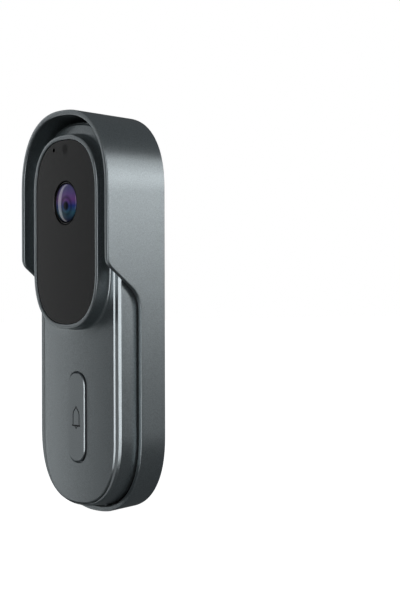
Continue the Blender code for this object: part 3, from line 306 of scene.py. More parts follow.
FINE_ARC = 56               # steps round each end of an outline
FINE_SIDE = 150             # steps down each side of the hood, for its stepped edge


def on_bar(turn, bar, inset=0.0):
    """Point (x, z) of an upright bar with rounded ends; turn goes once round in 0..4."""
    half, low, high, power = bar
    half, low, high = half - inset, low + inset, high - inset
    stretch, share = divmod(turn, 1)
    side = 1 if stretch in (0, 3) else -1
    if stretch in (1, 3):
        top, foot = high - half, low + half
        return side * half, (top + (foot - top) * share if side < 0
                             else foot + (top - foot) * share)
    angle = math.pi * share
    upward = 1 if stretch == 0 else -1
    across = math.copysign(abs(math.cos(angle)) ** (2 / power), math.cos(angle))
    along = half * (1 - max(math.sin(angle), 0.0) ** (2 / power))
    return upward * half * across, (high - along if upward > 0 else low + along)


def loft(rungs, arc=FINE_ARC, side=2, ring=False):
    """Skin through rungs, each giving (x, depth, z) for a turn; a ring has no caps."""
    mesh = bmesh.new()
    layer = mesh.verts.layers.float.new("turn")
    turns = [stretch + step / count for stretch, count in enumerate((arc, side, arc, side))
             for step in range(count)]
    bmesh.ops.create_circle(mesh, segments=len(turns), radius=1)
    mesh.verts.ensure_lookup_table()
    for vert, turn in zip(mesh.verts, turns):
        vert[layer] = turn
    verts, edges = list(mesh.verts), list(mesh.edges)
    first = edges
    for index, rung in enumerate(rungs):
        if index:
            made = bmesh.ops.extrude_edge_only(mesh, edges=edges)["geom"]
            verts = [item for item in made if isinstance(item, bmesh.types.BMVert)]
            edges = [item for item in made
                     if isinstance(item, bmesh.types.BMEdge) and item.is_boundary]
        for vert in verts:
            x, depth, z = rung(vert[layer])
            vert.co = (x, -depth, z)
    if ring:
        bmesh.ops.bridge_loops(mesh, edges=first + edges)
    else:
        bmesh.ops.edgeloop_fill(mesh, edges=first)
        bmesh.ops.edgeloop_fill(mesh, edges=edges)
    bmesh.ops.remove_doubles(mesh, verts=mesh.verts, dist=WELD)
    bmesh.ops.recalc_face_normals(mesh, faces=mesh.faces)
    return mesh


def rung(bar, inset, depth, pull=(0, 0)):
    """Rung of a loft on a bar's outline at one depth, or at a depth for each height.

    The pulls draw the top and bottom ends in toward the wall, as on the hood.
    """
    def point(turn):
        x, z = on_bar(turn, bar, inset)
        place = depth(z) if callable(depth) else depth
        reach = abs(z) - (bar[2] - bar[0])
        amount, front = (pull[0], HOOD_DEPTH) if z > 0 else (-pull[1], RIM_DEPTH)
        if reach > 0:
            z -= amount * reach / bar[0] * (1 - place / front)
        return x, place, z
    return point


def step_depth(height):
    """Depth of the hood's front edge at a height, round both corners of the step."""
    slope = (STEP_FOOT - STEP_TOP).normalized()
    down = Vector((0, -1))
    bend = math.acos(slope.dot(down))
    for corner, radius, arrive, leave in ((STEP_TOP, STEP_ROUNDS[0], down, slope),
                                          (STEP_FOOT, STEP_ROUNDS[1], slope, down)):
        run = radius * math.tan(bend / 2)
        start, stop = corner - arrive * run, corner + leave * run
        if height >= start.y:
            return start.x if corner is STEP_TOP else (
                STEP_TOP.x + (STEP_TOP.y - height) * slope.x / -slope.y)
        if height > stop.y:
            square = start.y - 2 * corner.y + stop.y
            linear = 2 * (corner.y - start.y)
            rest = start.y - height
            root = math.sqrt(linear ** 2 - 4 * square * rest)
            share = 2 * rest / (-linear + root)
            return (start.x * (1 - share) ** 2 + corner.x * 2 * share * (1 - share)
                    + stop.x * share ** 2)
    return RIM_DEPTH


def round_over(bar, inset, radius, depth, outer=True, steps=4, pull=(0, 0)):
    """Rungs round the front edge of a wall: up its outer face, or down its inner one."""
    rungs = []
    for step in range(steps + 1):
        angle = math.pi / 2 * step / steps
        if outer:
            side = inset + radius * (1 - math.cos(angle))
            drop = radius * (1 - math.sin(angle))
        else:
            side = inset - radius * (1 - math.sin(angle))
            drop = radius * (1 - math.cos(angle))
        rungs.append(rung(bar, side, lambda z, drop=drop: depth(z) - drop, pull))
    return rungs


def carve(mesh, cutter, operation="DIFFERENCE"):
    """Cut one bmesh with another, or join them, and return the result."""
    pair = []
    for name, source in (("work", mesh), ("tool", cutter)):
        data = bpy.data.meshes.new(name)
        source.to_mesh(data)
        source.free()
        pair.append(bpy.data.objects.new(name, data))
        scene.collection.objects.link(pair[-1])
    boolean = pair[0].modifiers.new("cut", "BOOLEAN")
    boolean.operation = operation
    boolean.object = pair[1]
    bpy.context.view_layer.update()
    result = bmesh.new()
    result.from_mesh(pair[0].evaluated_get(bpy.context.evaluated_depsgraph_get()).data)
    for item in pair:
        data = item.data
        bpy.data.objects.remove(item)
        bpy.data.meshes.remove(data)
    return result


def block(low, high):
    """Box between two corners given as (x, depth, z)."""
    mesh = bmesh.new()
    bmesh.ops.create_cube(mesh, size=1)
    bmesh.ops.scale(mesh, verts=mesh.verts, vec=[b - a for a, b in zip(low, high)])
    middle = [(a + b) / 2 for a, b in zip(low, high)]
    bmesh.ops.translate(mesh, verts=mesh.verts, vec=(middle[0], -middle[1], middle[2]))
    return mesh


# Sprayed metallic gunmetal: fine flakes under a satin lacquer, so reflections are soft
# and a grain of about 0.4 mm sparkles in them.
PAINT_GRAIN = 0.4 * MM
gunmetal = surface("gunmetal_paint", "#92999c", "#acb4b7", PAINT_GRAIN, 0.33, metallic=0.9,
                   relief=0.4)

OUTSIDE = (PULL_TOP, PULL_LOW)
INSIDE = (PULL_TOP, 0)
mesh = loft([
    rung(HOOD, BACK_EDGE, 0.0, OUTSIDE),
    rung(HOOD, 0.0, BACK_EDGE, OUTSIDE),
    rung(HOOD, 0.0, lambda z: step_depth(z) - HOOD_EDGE - EDGE_BAND, OUTSIDE),
    *round_over(HOOD, 0.0, HOOD_EDGE, step_depth, pull=OUTSIDE),
    *round_over(HOOD, HOOD_WALL, HOOD_EDGE, step_depth, outer=False, pull=INSIDE),
    rung(HOOD, HOOD_WALL, lambda z: step_depth(z) - HOOD_EDGE - EDGE_BAND, INSIDE),
    rung(HOOD, HOOD_WALL, HOOD_WALL + FLOOR_BEVEL, INSIDE),
    rung(HOOD, HOOD_WALL + FLOOR_BEVEL, HOOD_WALL, INSIDE),
    rung(HOOD, HOOD_WALL + FLANGE, HOOD_WALL),
    rung(HOOD, HOOD_WALL + FLANGE, 0.0),
], side=FINE_SIDE, ring=True)
hood_floor = HOOD_LOW.z + HOOD_WALL
boss = block((-BOSS_HALF, HOOD_WALL / 2, hood_floor - HOOD_WALL / 2),
             (BOSS_HALF, BOSS_DEPTH, hood_floor + BOSS_RISE))
mesh = carve(mesh, boss, "UNION")
bore = bmesh.new()
bmesh.ops.create_cone(bore, cap_ends=True, segments=BORE_FACETS, radius1=BORE,
                      radius2=BORE, depth=4 * BOSS_RISE,
                      matrix=Matrix.Translation((0, -SCREW_DEPTH, hood_floor)))
mesh = carve(mesh, bore)
place_piece("rain_hood_shell", mesh, gunmetal, "rain_hood")

# --- Security screw -----------------------------------------------------------------
# A headless M3 set screw with a hex socket, turned from steel and zinc plated.  It
# rises through the hood's boss into the doorbell's lock hole.

# Zinc plate: bright grey metal with fine drawing marks.
zinc_steel = surface("zinc_plated_steel", "#a9abad", "#c0c2c4", 0.2 * MM, 0.3, metallic=1.0,
                     relief=0.15)
soften("security_screw", zinc_steel, 0.08 * MM)

# --- Rear housing, gasket and screws ------------------------------------------------
# The shallow tub at the back, moulded in black ABS, closed on a silicone gasket with
# four pan-head screws driven in from behind.

# Moulded ABS with a fine matt texture, grains of about 0.25 mm.
tub_abs = surface("fine_matt_abs", "#161618", "#222224", 0.25 * MM, 0.5, relief=0.35)
# Moulded silicone: matt, faintly dusty black.
silicone = surface("silicone_rubber", "#1e1e20", "#28282a", 0.5 * MM, 0.75, relief=0.2)
soften("rear_housing", tub_abs)
soften("housing_gasket", silicone, 0.1 * MM)
for corner in ("top_left", "top_right", "bottom_left", "bottom_right"):
    soften("housing_screw_" + corner, zinc_steel, 0.1 * MM)

# --- Battery, speaker and antenna ---------------------------------------------------
# What lies in the tub: a lithium-polymer pouch in its foil wrap, a small moving-coil
# speaker in a stamped steel frame, and a printed antenna film.

# Foil pouch: grey laminate, softly dimpled every few millimetres.
pouch = surface("foil_pouch", "#7b7e82", "#93979b", 2.5 * MM, 0.35, metallic=0.6,
                relief=0.4)
# Stamped and nickel-flashed steel.
stamped_steel = surface("stamped_steel", "#66686a", "#7c7e80", 0.4 * MM, 0.38,
                        metallic=0.9)
# Formed polymer film, nearly matt.
cone_film = surface("formed_film", "#141414", "#1e1e1e", 0.8 * MM, 0.6)
# Polyimide film: translucent amber over copper.
polyimide = surface("polyimide_film", "#8a4f1a", "#a8672a", 0.6 * MM, 0.35, relief=0.1)
soften("battery_pack", pouch, 0.1 * MM)
soften("speaker_frame", stamped_steel, 0.1 * MM)
soften("speaker_cone", cone_film, 0.05 * MM)
soften("wifi_antenna", polyimide, 0.05 * MM)

# --- Main board ---------------------------------------------------------------------
# A glass-epoxy circuit board under green solder mask, held by four small screws, with
# a tin-plated radio shield, a nylon battery connector and the USB-C socket.


def board_finish(name, mask, trace, pitch):
    """Solder mask with paler copper tracks that run under it on a square grid."""
    finish = surface(name, mask, mask, 0.5 * MM, 0.35, relief=0.1)
    tree = finish.node_tree
    shader = tree.nodes["Principled BSDF"]
    place = add_node(tree, "ShaderNodeTexCoord")
    upright = add_node(tree, "ShaderNodeMapping", {"Rotation": (math.pi / 2, 0, 0)},
                       {"Vector": place.outputs["Object"]})
    track = add_node(tree, "ShaderNodeTexBrick",
                     {"Scale": 1 / pitch, "Color1": hex_colour(mask),
                      "Color2": hex_colour(mask), "Mortar": hex_colour(trace),
                      "Mortar Size": 0.05, "Brick Width": 2.7, "Row Height": 0.8},
                     {"Vector": upright.outputs["Vector"]})
    tree.links.new(track.outputs["Color"], shader.inputs["Base Color"])
    return finish


# Solder mask: semi-gloss green with tracks about 1 mm apart.
solder_mask = board_finish("green_solder_mask", "#0f3d24", "#1f6b3e", 1.2 * MM)
# Tin plate: bright, faintly brushed.
tin_plate = surface("tin_plate", "#b4b6b8", "#cdcfd0", 0.3 * MM, 0.25, metallic=1.0)
# Natural nylon: warm white.
nylon = surface("natural_nylon", "#d6d0bd", "#e2dccb", 0.4 * MM, 0.45)
# Glossy moulded switch bodies.
switch_plastic = surface("switch_plastic", "#171718", "#202022", 0.3 * MM, 0.35)
soften("main_board", solder_mask, 0.05 * MM)
for number in (1, 2, 3, 4):
    soften(f"board_screw_{number}", zinc_steel, 0.08 * MM)
soften("radio_shield", tin_plate, 0.2 * MM)
soften("battery_connector", nylon, 0.2 * MM)
soften("charging_port", tin_plate, 0.08 * MM)
soften("tact_switch", switch_plastic, 0.15 * MM)
soften("tact_plunger", nylon, 0.15 * MM)
soften("reset_switch", switch_plastic, 0.15 * MM)
soften("tamper_switch", switch_plastic, 0.15 * MM)
# Red moulded nylon for the reset button, so that it is found through the back.
red_nylon = surface("red_nylon", "#8d1a14", "#a3241c", 0.3 * MM, 0.4)
soften("reset_button", red_nylon, 0.12 * MM)
soften("tamper_plunger", nylon, 0.15 * MM)

# --- Camera module ------------------------------------------------------------------
# Behind the lens: the sensor on its own small board, the threaded holder, and the
# shuttle that a coil slides to swap the day filter for the clear night glass.

# Bare silicon under glass: dark, very smooth.
sensor_chip = surface("sensor_silicon", "#20242c", "#2c3038", 0.1 * MM, 0.12)
# Enamelled copper wire, wound in layers.
copper_wire = surface("enamelled_copper", "#8c4a24", "#a85c30", 0.3 * MM, 0.3,
                      metallic=0.9)
# Coated filter glass, blue-green by reflection.
day_filter = surface("day_filter_glass", "#1d4450", "#27545f", 1.0 * MM, 0.08,
                     relief=0.05)
# Clear cover glass.
clear_glass = surface("clear_glass", "#9fb0b3", "#aebcbe", 1.0 * MM, 0.06, relief=0.05)
# Clear epoxy lamp lens, faintly violet.
lamp_epoxy = surface("lamp_epoxy", "#5c5468", "#6b6378", 0.8 * MM, 0.1, relief=0.05)
# Open-cell foam.
seal_foam = surface("seal_foam", "#121213", "#1c1c1e", 0.4 * MM, 0.9, relief=0.8)
for node in ("sensor_board", "infrared_board"):
    soften(node, solder_mask, 0.05 * MM)
soften("image_sensor", sensor_chip, 0.1 * MM)
soften("light_sensor", sensor_chip, 0.1 * MM)
for node in ("camera_frame", "lens_holder", "filter_shuttle"):
    soften(node, switch_plastic, 0.1 * MM)
for node in ("camera_screw_upper", "camera_screw_lower"):
    soften(node, zinc_steel, 0.08 * MM)
soften("filter_coil", copper_wire, 0.3 * MM)
soften("infrared_filter", day_filter, 0.05 * MM)
soften("clear_filter", clear_glass, 0.05 * MM)
for node in ("infrared_lamp_left", "infrared_lamp_right"):
    soften(node, lamp_epoxy, 0.05 * MM)
soften("microphone", tin_plate, 0.1 * MM)
soften("mic_boot", silicone, 0.1 * MM)
soften("light_seal", seal_foam, 0.1 * MM)
soften("rear_element", clear_glass, 0.05 * MM)

# --- Front housing ------------------------------------------------------------------
# The main shell, ABS sprayed to match the hood: a straight side wall, a bright 45
# degree bevel, and a ledge round the pocket that the front cover is bonded into.
UNIT_LOW, UNIT_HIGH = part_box("front_housing")
UNIT = (UNIT_HIGH.x, UNIT_LOW.z, UNIT_HIGH.z, END_POWER)
COVER_LOW, COVER_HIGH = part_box("front_cover")
COVER = (COVER_HIGH.x, COVER_LOW.z, COVER_HIGH.z, END_POWER)
JOINT = 0.3 * MM            # gap between pieces that are bonded or pushed together
LEDGE_DEPTH = -UNIT_LOW.y
LEDGE_BEVEL = 0.83 * MM
LEDGE_LEAST = 0.12 * MM     # flat strip that is left of the ledge where it is narrowest
BEVEL_BAND = 0.3 * MM
UNIT_BACK = 10.1 * MM
UNIT_WALL = 1.6 * MM
PLATE_BACK = 14.9 * MM
PLATE_FRONT = 16.4 * MM
PORT_REACH = 4.0 * MM       # how far the socket's opening runs up past its face
FLAP_SEAT = 0.7 * MM        # thickness of the flap's tab


def ledge_edge(turn):
    """Inner edge of the bevel, drawn in where the ledge narrows at the tips."""
    outer = Vector(on_bar(turn, UNIT))
    seat = Vector(on_bar(turn, COVER, -JOINT))
    width = (outer - seat).length
    share = min(LEDGE_BEVEL, width - LEDGE_LEAST) / width
    x, z = outer.lerp(seat, share)
    return x, LEDGE_DEPTH, z


mesh = loft([
    rung(COVER, -JOINT, PLATE_FRONT),
    rung(COVER, -JOINT, LEDGE_DEPTH),
    ledge_edge,
    rung(UNIT, 0.0, LEDGE_DEPTH - LEDGE_BEVEL),
    rung(UNIT, 0.0, LEDGE_DEPTH - LEDGE_BEVEL - BEVEL_BAND),
    rung(UNIT, 0.0, UNIT_BACK),
    rung(UNIT, UNIT_WALL, UNIT_BACK),
    rung(UNIT, UNIT_WALL, PLATE_BACK),
])
PORT_LOW, PORT_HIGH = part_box("charging_port")
FLAP_LOW, FLAP_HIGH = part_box("charging_flap")
port_slot = block((PORT_LOW.x - JOINT, -PORT_HIGH.y - JOINT, UNIT_LOW.z - MM),
                  (PORT_HIGH.x + JOINT, -PORT_LOW.y + JOINT, PORT_LOW.z + PORT_REACH))
mesh = carve(mesh, port_slot)
flap_slot = block((FLAP_LOW.x - JOINT, -FLAP_HIGH.y - JOINT, UNIT_LOW.z - MM),
                  (FLAP_HIGH.x + JOINT, -FLAP_LOW.y + 2 * JOINT,
                   FLAP_LOW.z + FLAP_SEAT + JOINT))
mesh = carve(mesh, flap_slot)
place_piece("front_housing_shell", mesh, gunmetal, "front_housing")

# --- Charging flap ------------------------------------------------------------------
# A soft silicone plug on a flat tab that folds down to bare the charging socket.
soften("charging_flap", silicone, 0.2 * MM)

# --- Lens ---------------------------------------------------------------------------
# A domed front element in a black barrel behind a thin trim ring.  Its glass has painted
# reflection, violet above and blue-green below, and a dark painted shade in its middle.
LENS_LOW, LENS_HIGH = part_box("lens_trim")
LENS_Z = (LENS_LOW.z + LENS_HIGH.z) / 2
PANEL_FRONT = -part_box("front_panel")[0].y
TRIM_RADIUS = (LENS_HIGH.x - LENS_LOW.x) / 2
# The trim ring's front, in mm: how far in from its rim and how far behind the panel's.
TRIM_SECTION = ((0.0, 0.5), (0.1, 0.32), (0.3, 0.25), (0.45, 0.35), (0.55, 0.6))
DOME = 7.1 * MM
SAG = 1.3 * MM              # how far the dome stands out in front of its edge
DOME_STEPS = 20
DOME_BASE = 0.2 * MM        # thickness of the glass at the dome's edge
EDGE = PANEL_FRONT - 0.55 * MM
# Painted shade: how far the dark centre is set off the lens axis.
PAINTED_SHADE_SHIFT = (-1.6 * MM, 1.1 * MM)
# Painted reflection: the coated glass's tints, from the bottom of the dome to the top.
PAINTED_REFLECTION_TINTS = ((0.05, "#1c2650"), (0.25, "#3f7288"), (0.42, "#3048a0"), (0.58, "#8a5aa8"),
           (0.9, "#7a74b4"))
# Painted shade in the middle, then rings of painted reflection: share of the tint kept.
SHADE_AND_REFLECTION_RINGS = ((0.0, 0.03), (0.17, 0.06), (0.3, 1), (0.45, 0.45), (0.6, 1), (1.0, 0.7))


def turned(profile, steps=96):
    """Turn a profile of (radius, depth) about the lens axis."""
    mesh = bmesh.new()
    verts = [mesh.verts.new((radius, -depth, LENS_Z)) for radius, depth in profile]
    edges = [mesh.edges.new(pair) for pair in zip(verts, verts[1:])]
    bmesh.ops.spin(mesh, geom=verts + edges, cent=(0, 0, LENS_Z), axis=(0, 1, 0),
                   angle=2 * math.pi, steps=steps, use_merge=True)
    bmesh.ops.remove_doubles(mesh, verts=mesh.verts, dist=WELD)
    bmesh.ops.recalc_face_normals(mesh, faces=mesh.faces)
    return mesh


# Black moulded barrel parts, semi-gloss with a faint turned grain.
barrel_black = surface("barrel_black", "#0c0c0d", "#141415", 0.15 * MM, 0.35, relief=0.2)
back = -LENS_HIGH.y
section = [(TRIM_RADIUS - inward * MM, PANEL_FRONT - behind * MM)
           for inward, behind in TRIM_SECTION]
mesh = turned([(TRIM_RADIUS, back), *section, (section[-1][0], back),
               (TRIM_RADIUS, back)])
place_piece("lens_trim_ring", mesh, barrel_black, "lens_trim")
soften("lens_barrel", barrel_black, 0.1 * MM)

# Glass with painted reflection, violet above and blue-green below, and painted shade in the
# middle.
glass_painted_reflection = bpy.data.materials.new("lens_glass_painted_reflection_and_shade")
glass_painted_reflection.use_nodes = True
tree = glass_painted_reflection.node_tree
shader = tree.nodes["Principled BSDF"]
place = add_node(tree, "ShaderNodeTexCoord")
centre = add_node(tree, "ShaderNodeMapping", {"Location": (0, 0, -LENS_Z)},
                  {"Vector": place.outputs["Object"]})
split = add_node(tree, "ShaderNodeSeparateXYZ", {}, {"Vector": centre.outputs["Vector"]})
# Painted reflection: the tint follows the height on the dome.
sky = add_node(tree, "ShaderNodeMath",
               {"operation": "MULTIPLY_ADD", 1: 0.5 / DOME, 2: 0.5},
               {0: split.outputs["Z"]})
upper = add_node(tree, "ShaderNodeValToRGB",
                 {"stops": [(height, hex_colour(colour)) for height, colour in PAINTED_REFLECTION_TINTS]},
                 {"Fac": sky.outputs[0]})
# Painted shade: a dark centre off the lens axis, with rings of painted reflection round it.
shade_middle = add_node(tree, "ShaderNodeMapping",
                    {"Location": (PAINTED_SHADE_SHIFT[0], 0, PAINTED_SHADE_SHIFT[1] - LENS_Z),
                     "Scale": (1, 0, 1)},
                    {"Vector": place.outputs["Object"]})
reach = add_node(tree, "ShaderNodeVectorMath", {"operation": "LENGTH"},
                 {0: shade_middle.outputs["Vector"]})
ring = add_node(tree, "ShaderNodeMapRange", {"From Min": 0.0, "From Max": DOME},
                {"Value": reach.outputs["Value"]})
painted_shade_rings = add_node(tree, "ShaderNodeValToRGB",
                 {"stops": [(radius, (share, share, share, 1))
                            for radius, share in SHADE_AND_REFLECTION_RINGS]},
                 {"Fac": ring.outputs["Result"]})
both = add_node(tree, "ShaderNodeMix",
                {"data_type": "RGBA", "blend_type": "MULTIPLY", 0: 1.0},
                {6: upper.outputs["Color"], 7: painted_shade_rings.outputs["Color"]})
tree.links.new(both.outputs[2], shader.inputs["Base Color"])
shader.inputs["Roughness"].default_value = 0.04
shader.inputs["IOR"].default_value = 1.6
angles = [math.pi / 2 * step / DOME_STEPS for step in range(DOME_STEPS + 1)]
dome = [(DOME * math.sin(angle), EDGE + SAG * math.cos(angle)) for angle in angles]
mesh = turned(dome + [(DOME, EDGE - DOME_BASE), (0.0, EDGE - DOME_BASE)])
place_piece("front_element_dome", mesh, glass_painted_reflection, "front_element")

# --- Front cover --------------------------------------------------------------------
# The face plate, moulded in ABS with the raised wall of the camera pod on it, and
# sprayed gunmetal.  It is crowned from side to side by half a millimetre.
POD = (22.5 * MM, -6.3 * MM, 65.7 * MM, 2.44)
POD_DEPTH = -COVER_LOW.y
POD_RIM = 1.6 * MM
POD_SEAT = 1.0 * MM
POD_FOOT = 1.0 * MM         # radius of the fillet at the pod's foot
POD_FOOT_STEPS = 5
POD_EDGE = 0.35 * MM
POD_INNER_EDGE = 0.2 * MM
POD_BAND = 0.9 * MM         # straight strip of the pod's wall, measured from its front
SEAT_DEPTH = 22.3 * MM
COVER_BACK = 16.7 * MM
COVER_FACE = 19.0 * MM
COVER_CROWN = 0.5 * MM
COVER_BEVEL = 0.42 * MM
FACE_STEPS = 14
FACE_BAND = 0.02            # share of the face kept as a strip beside its bevel
BUTTON_LOW, BUTTON_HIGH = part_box("bell_button")
LIP = 1.5 * MM
BUTTON = (BUTTON_HIGH.x - LIP, BUTTON_LOW.z + LIP, BUTTON_HIGH.z - LIP, END_POWER)
BUTTON_GAP = 0.5 * MM
HOLE_BEVEL = 0.3 * MM
HOLE_DROP = 0.2 * MM        # the hole's bevel starts this far under the face
LIP_POCKET = 17.95 * MM     # depth that the pocket behind the face is cut to


def crowned(x, drop=0.0):
    """Depth of the cover's face at a distance from its centre line."""
    return COVER_FACE - COVER_CROWN * (x / COVER[0]) ** 2 - drop


def face_rung(share):
    """Rung on the crowned face, part of the way from the cover's edge to the pod."""
    def point(turn):
        edge = Vector(on_bar(turn, COVER, COVER_BEVEL))
        foot = Vector(on_bar(turn, POD, -POD_FOOT))
        x, z = edge.lerp(foot, share)
        return x, crowned(x), z
    return point


def foot_rung(angle):
    """Rung round the small fillet between the face and the pod's wall."""
    def point(turn):
        x, z = on_bar(turn, POD, -POD_FOOT * (1 - math.sin(angle)))
        return x, crowned(x) + POD_FOOT * (1 - math.cos(angle)), z
    return point


def edge_rung(turn):
    """Rung where the cover's side meets its bevel."""
    x, z = on_bar(turn, COVER)
    return x, crowned(x, COVER_BEVEL), z


mesh = loft([
    rung(COVER, 0.0, COVER_BACK),
    edge_rung,
    face_rung(0.0),
    face_rung(FACE_BAND),
    *[face_rung(FACE_BAND + (1 - FACE_BAND) * step / FACE_STEPS)
      for step in range(1, FACE_STEPS + 1)],
    *[foot_rung(math.pi / 2 * step / POD_FOOT_STEPS)
      for step in range(1, POD_FOOT_STEPS + 1)],
    rung(POD, 0.0, POD_DEPTH - POD_BAND),
    *round_over(POD, 0.0, POD_EDGE, lambda z: POD_DEPTH),
    *round_over(POD, POD_RIM, POD_INNER_EDGE, lambda z: POD_DEPTH, outer=False),
    rung(POD, POD_RIM, SEAT_DEPTH),
    rung(POD, POD_RIM + POD_SEAT, SEAT_DEPTH),
    rung(POD, POD_RIM + POD_SEAT, COVER_BACK),
], ring=True)
hole = loft([rung(BUTTON, -BUTTON_GAP, COVER_BACK - MM),
             rung(BUTTON, -BUTTON_GAP, COVER_FACE - HOLE_DROP),
             rung(BUTTON, -BUTTON_GAP - HOLE_BEVEL, COVER_FACE - HOLE_DROP + HOLE_BEVEL)])
mesh = carve(mesh, hole)
mesh = carve(mesh, loft([rung(BUTTON, -LIP - JOINT, COVER_BACK - MM),
                         rung(BUTTON, -LIP - JOINT, LIP_POCKET)]))
place_piece("front_cover_shell", mesh, gunmetal, "front_cover")

# --- Black panel --------------------------------------------------------------------
# A hard-coated polycarbonate panel bonded into the pod's rim, printed black behind,
# with a window for the lens, a clear spot for the light sensor and a microphone hole.
LENS_WINDOW = 8.2 * MM      # radius
WINDOW = (LENS_WINDOW, LENS_Z - LENS_WINDOW, LENS_Z + LENS_WINDOW, 2.0)
PANEL_BACK = 22.6 * MM
PANEL_INSET = POD_RIM + 0.15 * MM
PANEL_EDGE = 0.12 * MM
SPOT_Z = POD[2] - 5.2 * MM
SPOT_RADIUS = 1.9 * MM
MIC_X = -8 * MM
MIC_RADIUS = 0.65 * MM
MIC_SHADE = 0.15 * MM       # width of the painted shade round the microphone hole
MIC_FACETS = 24
PIN_LENGTH = 4.0 * MM
PATCH_BLUR = 0.1 * MM       # half the width of a patch's soft edge: the sensor spot and the painted shade
PANEL_SPECULAR = 0.5

# Hard-coated black: an even, very dark grey with a satin sheen.
panel_black = surface("hard_coated_black", "#151515", "#171717", 1.5 * MM, 0.24,
                      relief=0.02)
tree = panel_black.node_tree
shader = tree.nodes["Principled BSDF"]
place = add_node(tree, "ShaderNodeTexCoord")


def disc_mask(x, radius):
    """Shader value that is 0 inside a round patch of the panel and 1 outside it."""
    centre = add_node(tree, "ShaderNodeMapping", {"Location": (-x, 0, -SPOT_Z),
                                                  "Scale": (1, 0, 1)},
                      {"Vector": place.outputs["Object"]})
    reach = add_node(tree, "ShaderNodeVectorMath", {"operation": "LENGTH"},
                     {0: centre.outputs["Vector"]})
    edge = add_node(tree, "ShaderNodeMapRange",
                    {"From Min": radius - PATCH_BLUR, "From Max": radius + PATCH_BLUR},
                    {"Value": reach.outputs["Value"]})
    return edge.outputs["Result"]


base = shader.inputs["Base Color"].links[0].from_socket
gleam = None
# The light sensor's clear spot, then painted shade in and round the microphone hole: near
# black and without specular.
for x, radius, colour, level in ((0, SPOT_RADIUS, "#0a0a0b", 0.22),
                                 (MIC_X, MIC_RADIUS + MIC_SHADE, "#010101", 0.0)):
    mask = disc_mask(x, radius)
    patch = add_node(tree, "ShaderNodeMix", {"data_type": "RGBA", 6: hex_colour(colour)},
                     {0: mask, 7: base})
    base = patch.outputs[2]
    shine = add_node(tree, "ShaderNodeMix",
                     {"data_type": "FLOAT", 2: level, 3: PANEL_SPECULAR}, {0: mask})
    if gleam:
        tree.links.new(gleam, shine.inputs[3])
    gleam = shine.outputs[0]
tree.links.new(base, shader.inputs["Base Color"])
tree.links.new(gleam, shader.inputs["Specular IOR Level"])

mesh = loft([
    rung(POD, PANEL_INSET, PANEL_BACK),
    rung(POD, PANEL_INSET, PANEL_FRONT - PANEL_EDGE),
    rung(POD, PANEL_INSET + PANEL_EDGE, PANEL_FRONT),
    rung(WINDOW, -PANEL_EDGE, PANEL_FRONT),
    rung(WINDOW, 0.0, PANEL_FRONT - PANEL_EDGE),
    rung(WINDOW, 0.0, PANEL_BACK),
], ring=True)
pin = bmesh.new()
bmesh.ops.create_cone(pin, cap_ends=True, segments=MIC_FACETS, radius1=MIC_RADIUS,
                      radius2=MIC_RADIUS, depth=PIN_LENGTH,
                      matrix=Matrix.Translation((MIC_X, -PANEL_FRONT, SPOT_Z))
                      @ Matrix.Rotation(math.pi / 2, 4, "X"))
mesh = carve(mesh, pin)
place_piece("front_panel_glass", mesh, panel_black, "front_panel")

# --- Bell button --------------------------------------------------------------------
# An oblong push cap moulded and sprayed with the cover, kept in by a lip behind it and
# resting on a silicone pad.  A bell is printed on it in fine dark lines.
BUTTON_FACE = -BUTTON_LOW.y
BUTTON_BEVEL = 0.3 * MM
FACE_RIM = 0.4 * MM         # flat strip inside the bevel
LIP_THICK = 0.5 * MM
LIP_BACK = -BUTTON_HIGH.y
LIP_FRONT = LIP_BACK + LIP_THICK
mesh = loft([
    rung(BUTTON, -LIP, LIP_BACK),
    rung(BUTTON, -LIP, LIP_FRONT),
    rung(BUTTON, 0.0, LIP_FRONT),
    rung(BUTTON, 0.0, BUTTON_FACE - BUTTON_BEVEL),
    rung(BUTTON, BUTTON_BEVEL, BUTTON_FACE),
    rung(BUTTON, BUTTON_BEVEL + FACE_RIM, BUTTON_FACE),
])
place_piece("bell_button_cap", mesh, gunmetal, "bell_button")
soften("button_seal", silicone, 0.1 * MM)

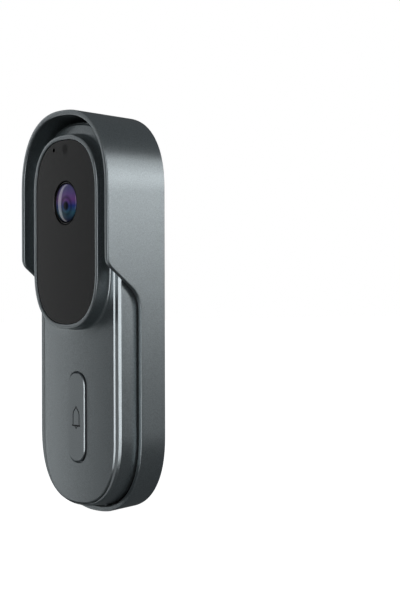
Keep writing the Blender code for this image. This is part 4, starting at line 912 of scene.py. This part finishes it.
BELL_RISE = 4.15 * MM       # top of the bell over the button's middle
BELL_TOP = (BUTTON[1] + BUTTON[2]) / 2 + BELL_RISE
LINE = 0.27 * MM            # half the width of a stroke
INK_FLAT = 0.15             # a stroke's thickness as a share of its width
# Right half of the bell, its sill and its clapper, in mm from the bell's top.
BELL_SIDE = ((0.0, 0.0), (0.35, -0.75), (1.0, -1.35), (1.75, -2.1), (2.1, -3.1),
             (2.1, -6.6), (2.25, -7.3))
BELL_SILL = ((-2.8, -7.3), (2.8, -7.3))
BELL_CLAPPER = ((-0.9, -7.4), (0.0, -8.5), (0.9, -7.4))
# Pad-printed ink: matt black.
ink = surface("printed_ink", "#08090a", "#0c0d0e", 0.3 * MM, 0.7, relief=0.1)
outline = list(BELL_SIDE) + [(-x, z) for x, z in BELL_SIDE[:0:-1]]
drawing = ((outline, True), (BELL_SILL, False), (BELL_CLAPPER, False))
strokes = [([(x * MM, z * MM) for x, z in points], closed) for points, closed in drawing]
curve = bpy.data.curves.new("bell_lines", "CURVE")
curve.dimensions = "3D"
curve.bevel_depth = LINE
curve.bevel_resolution = 2
curve.use_fill_caps = True
for points, closed in strokes:
    line = curve.splines.new("POLY")
    line.points.add(len(points) - 1)
    line.use_cyclic_u = closed
    for point, (x, z) in zip(line.points, points):
        point.co = (x, 0, z, 1)
drawn = bpy.data.objects.new("bell_lines", curve)
scene.collection.objects.link(drawn)
bpy.context.view_layer.update()
mesh = bmesh.new()
mesh.from_mesh(drawn.evaluated_get(bpy.context.evaluated_depsgraph_get()).to_mesh())
bpy.data.objects.remove(drawn)
bmesh.ops.remove_doubles(mesh, verts=mesh.verts, dist=WELD)
bmesh.ops.scale(mesh, verts=mesh.verts, vec=(1, INK_FLAT, 1))
bmesh.ops.translate(mesh, verts=mesh.verts, vec=(0, -BUTTON_FACE, BELL_TOP))
bmesh.ops.recalc_face_normals(mesh, faces=mesh.faces)
data = bpy.data.meshes.new("bell_icon")
mesh.to_mesh(data)
mesh.free()
data.materials.append(ink)
data.shade_smooth()
icon = bpy.data.objects.new("bell_icon", data)
scene.collection.objects.link(icon)
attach(icon, "bell_button")
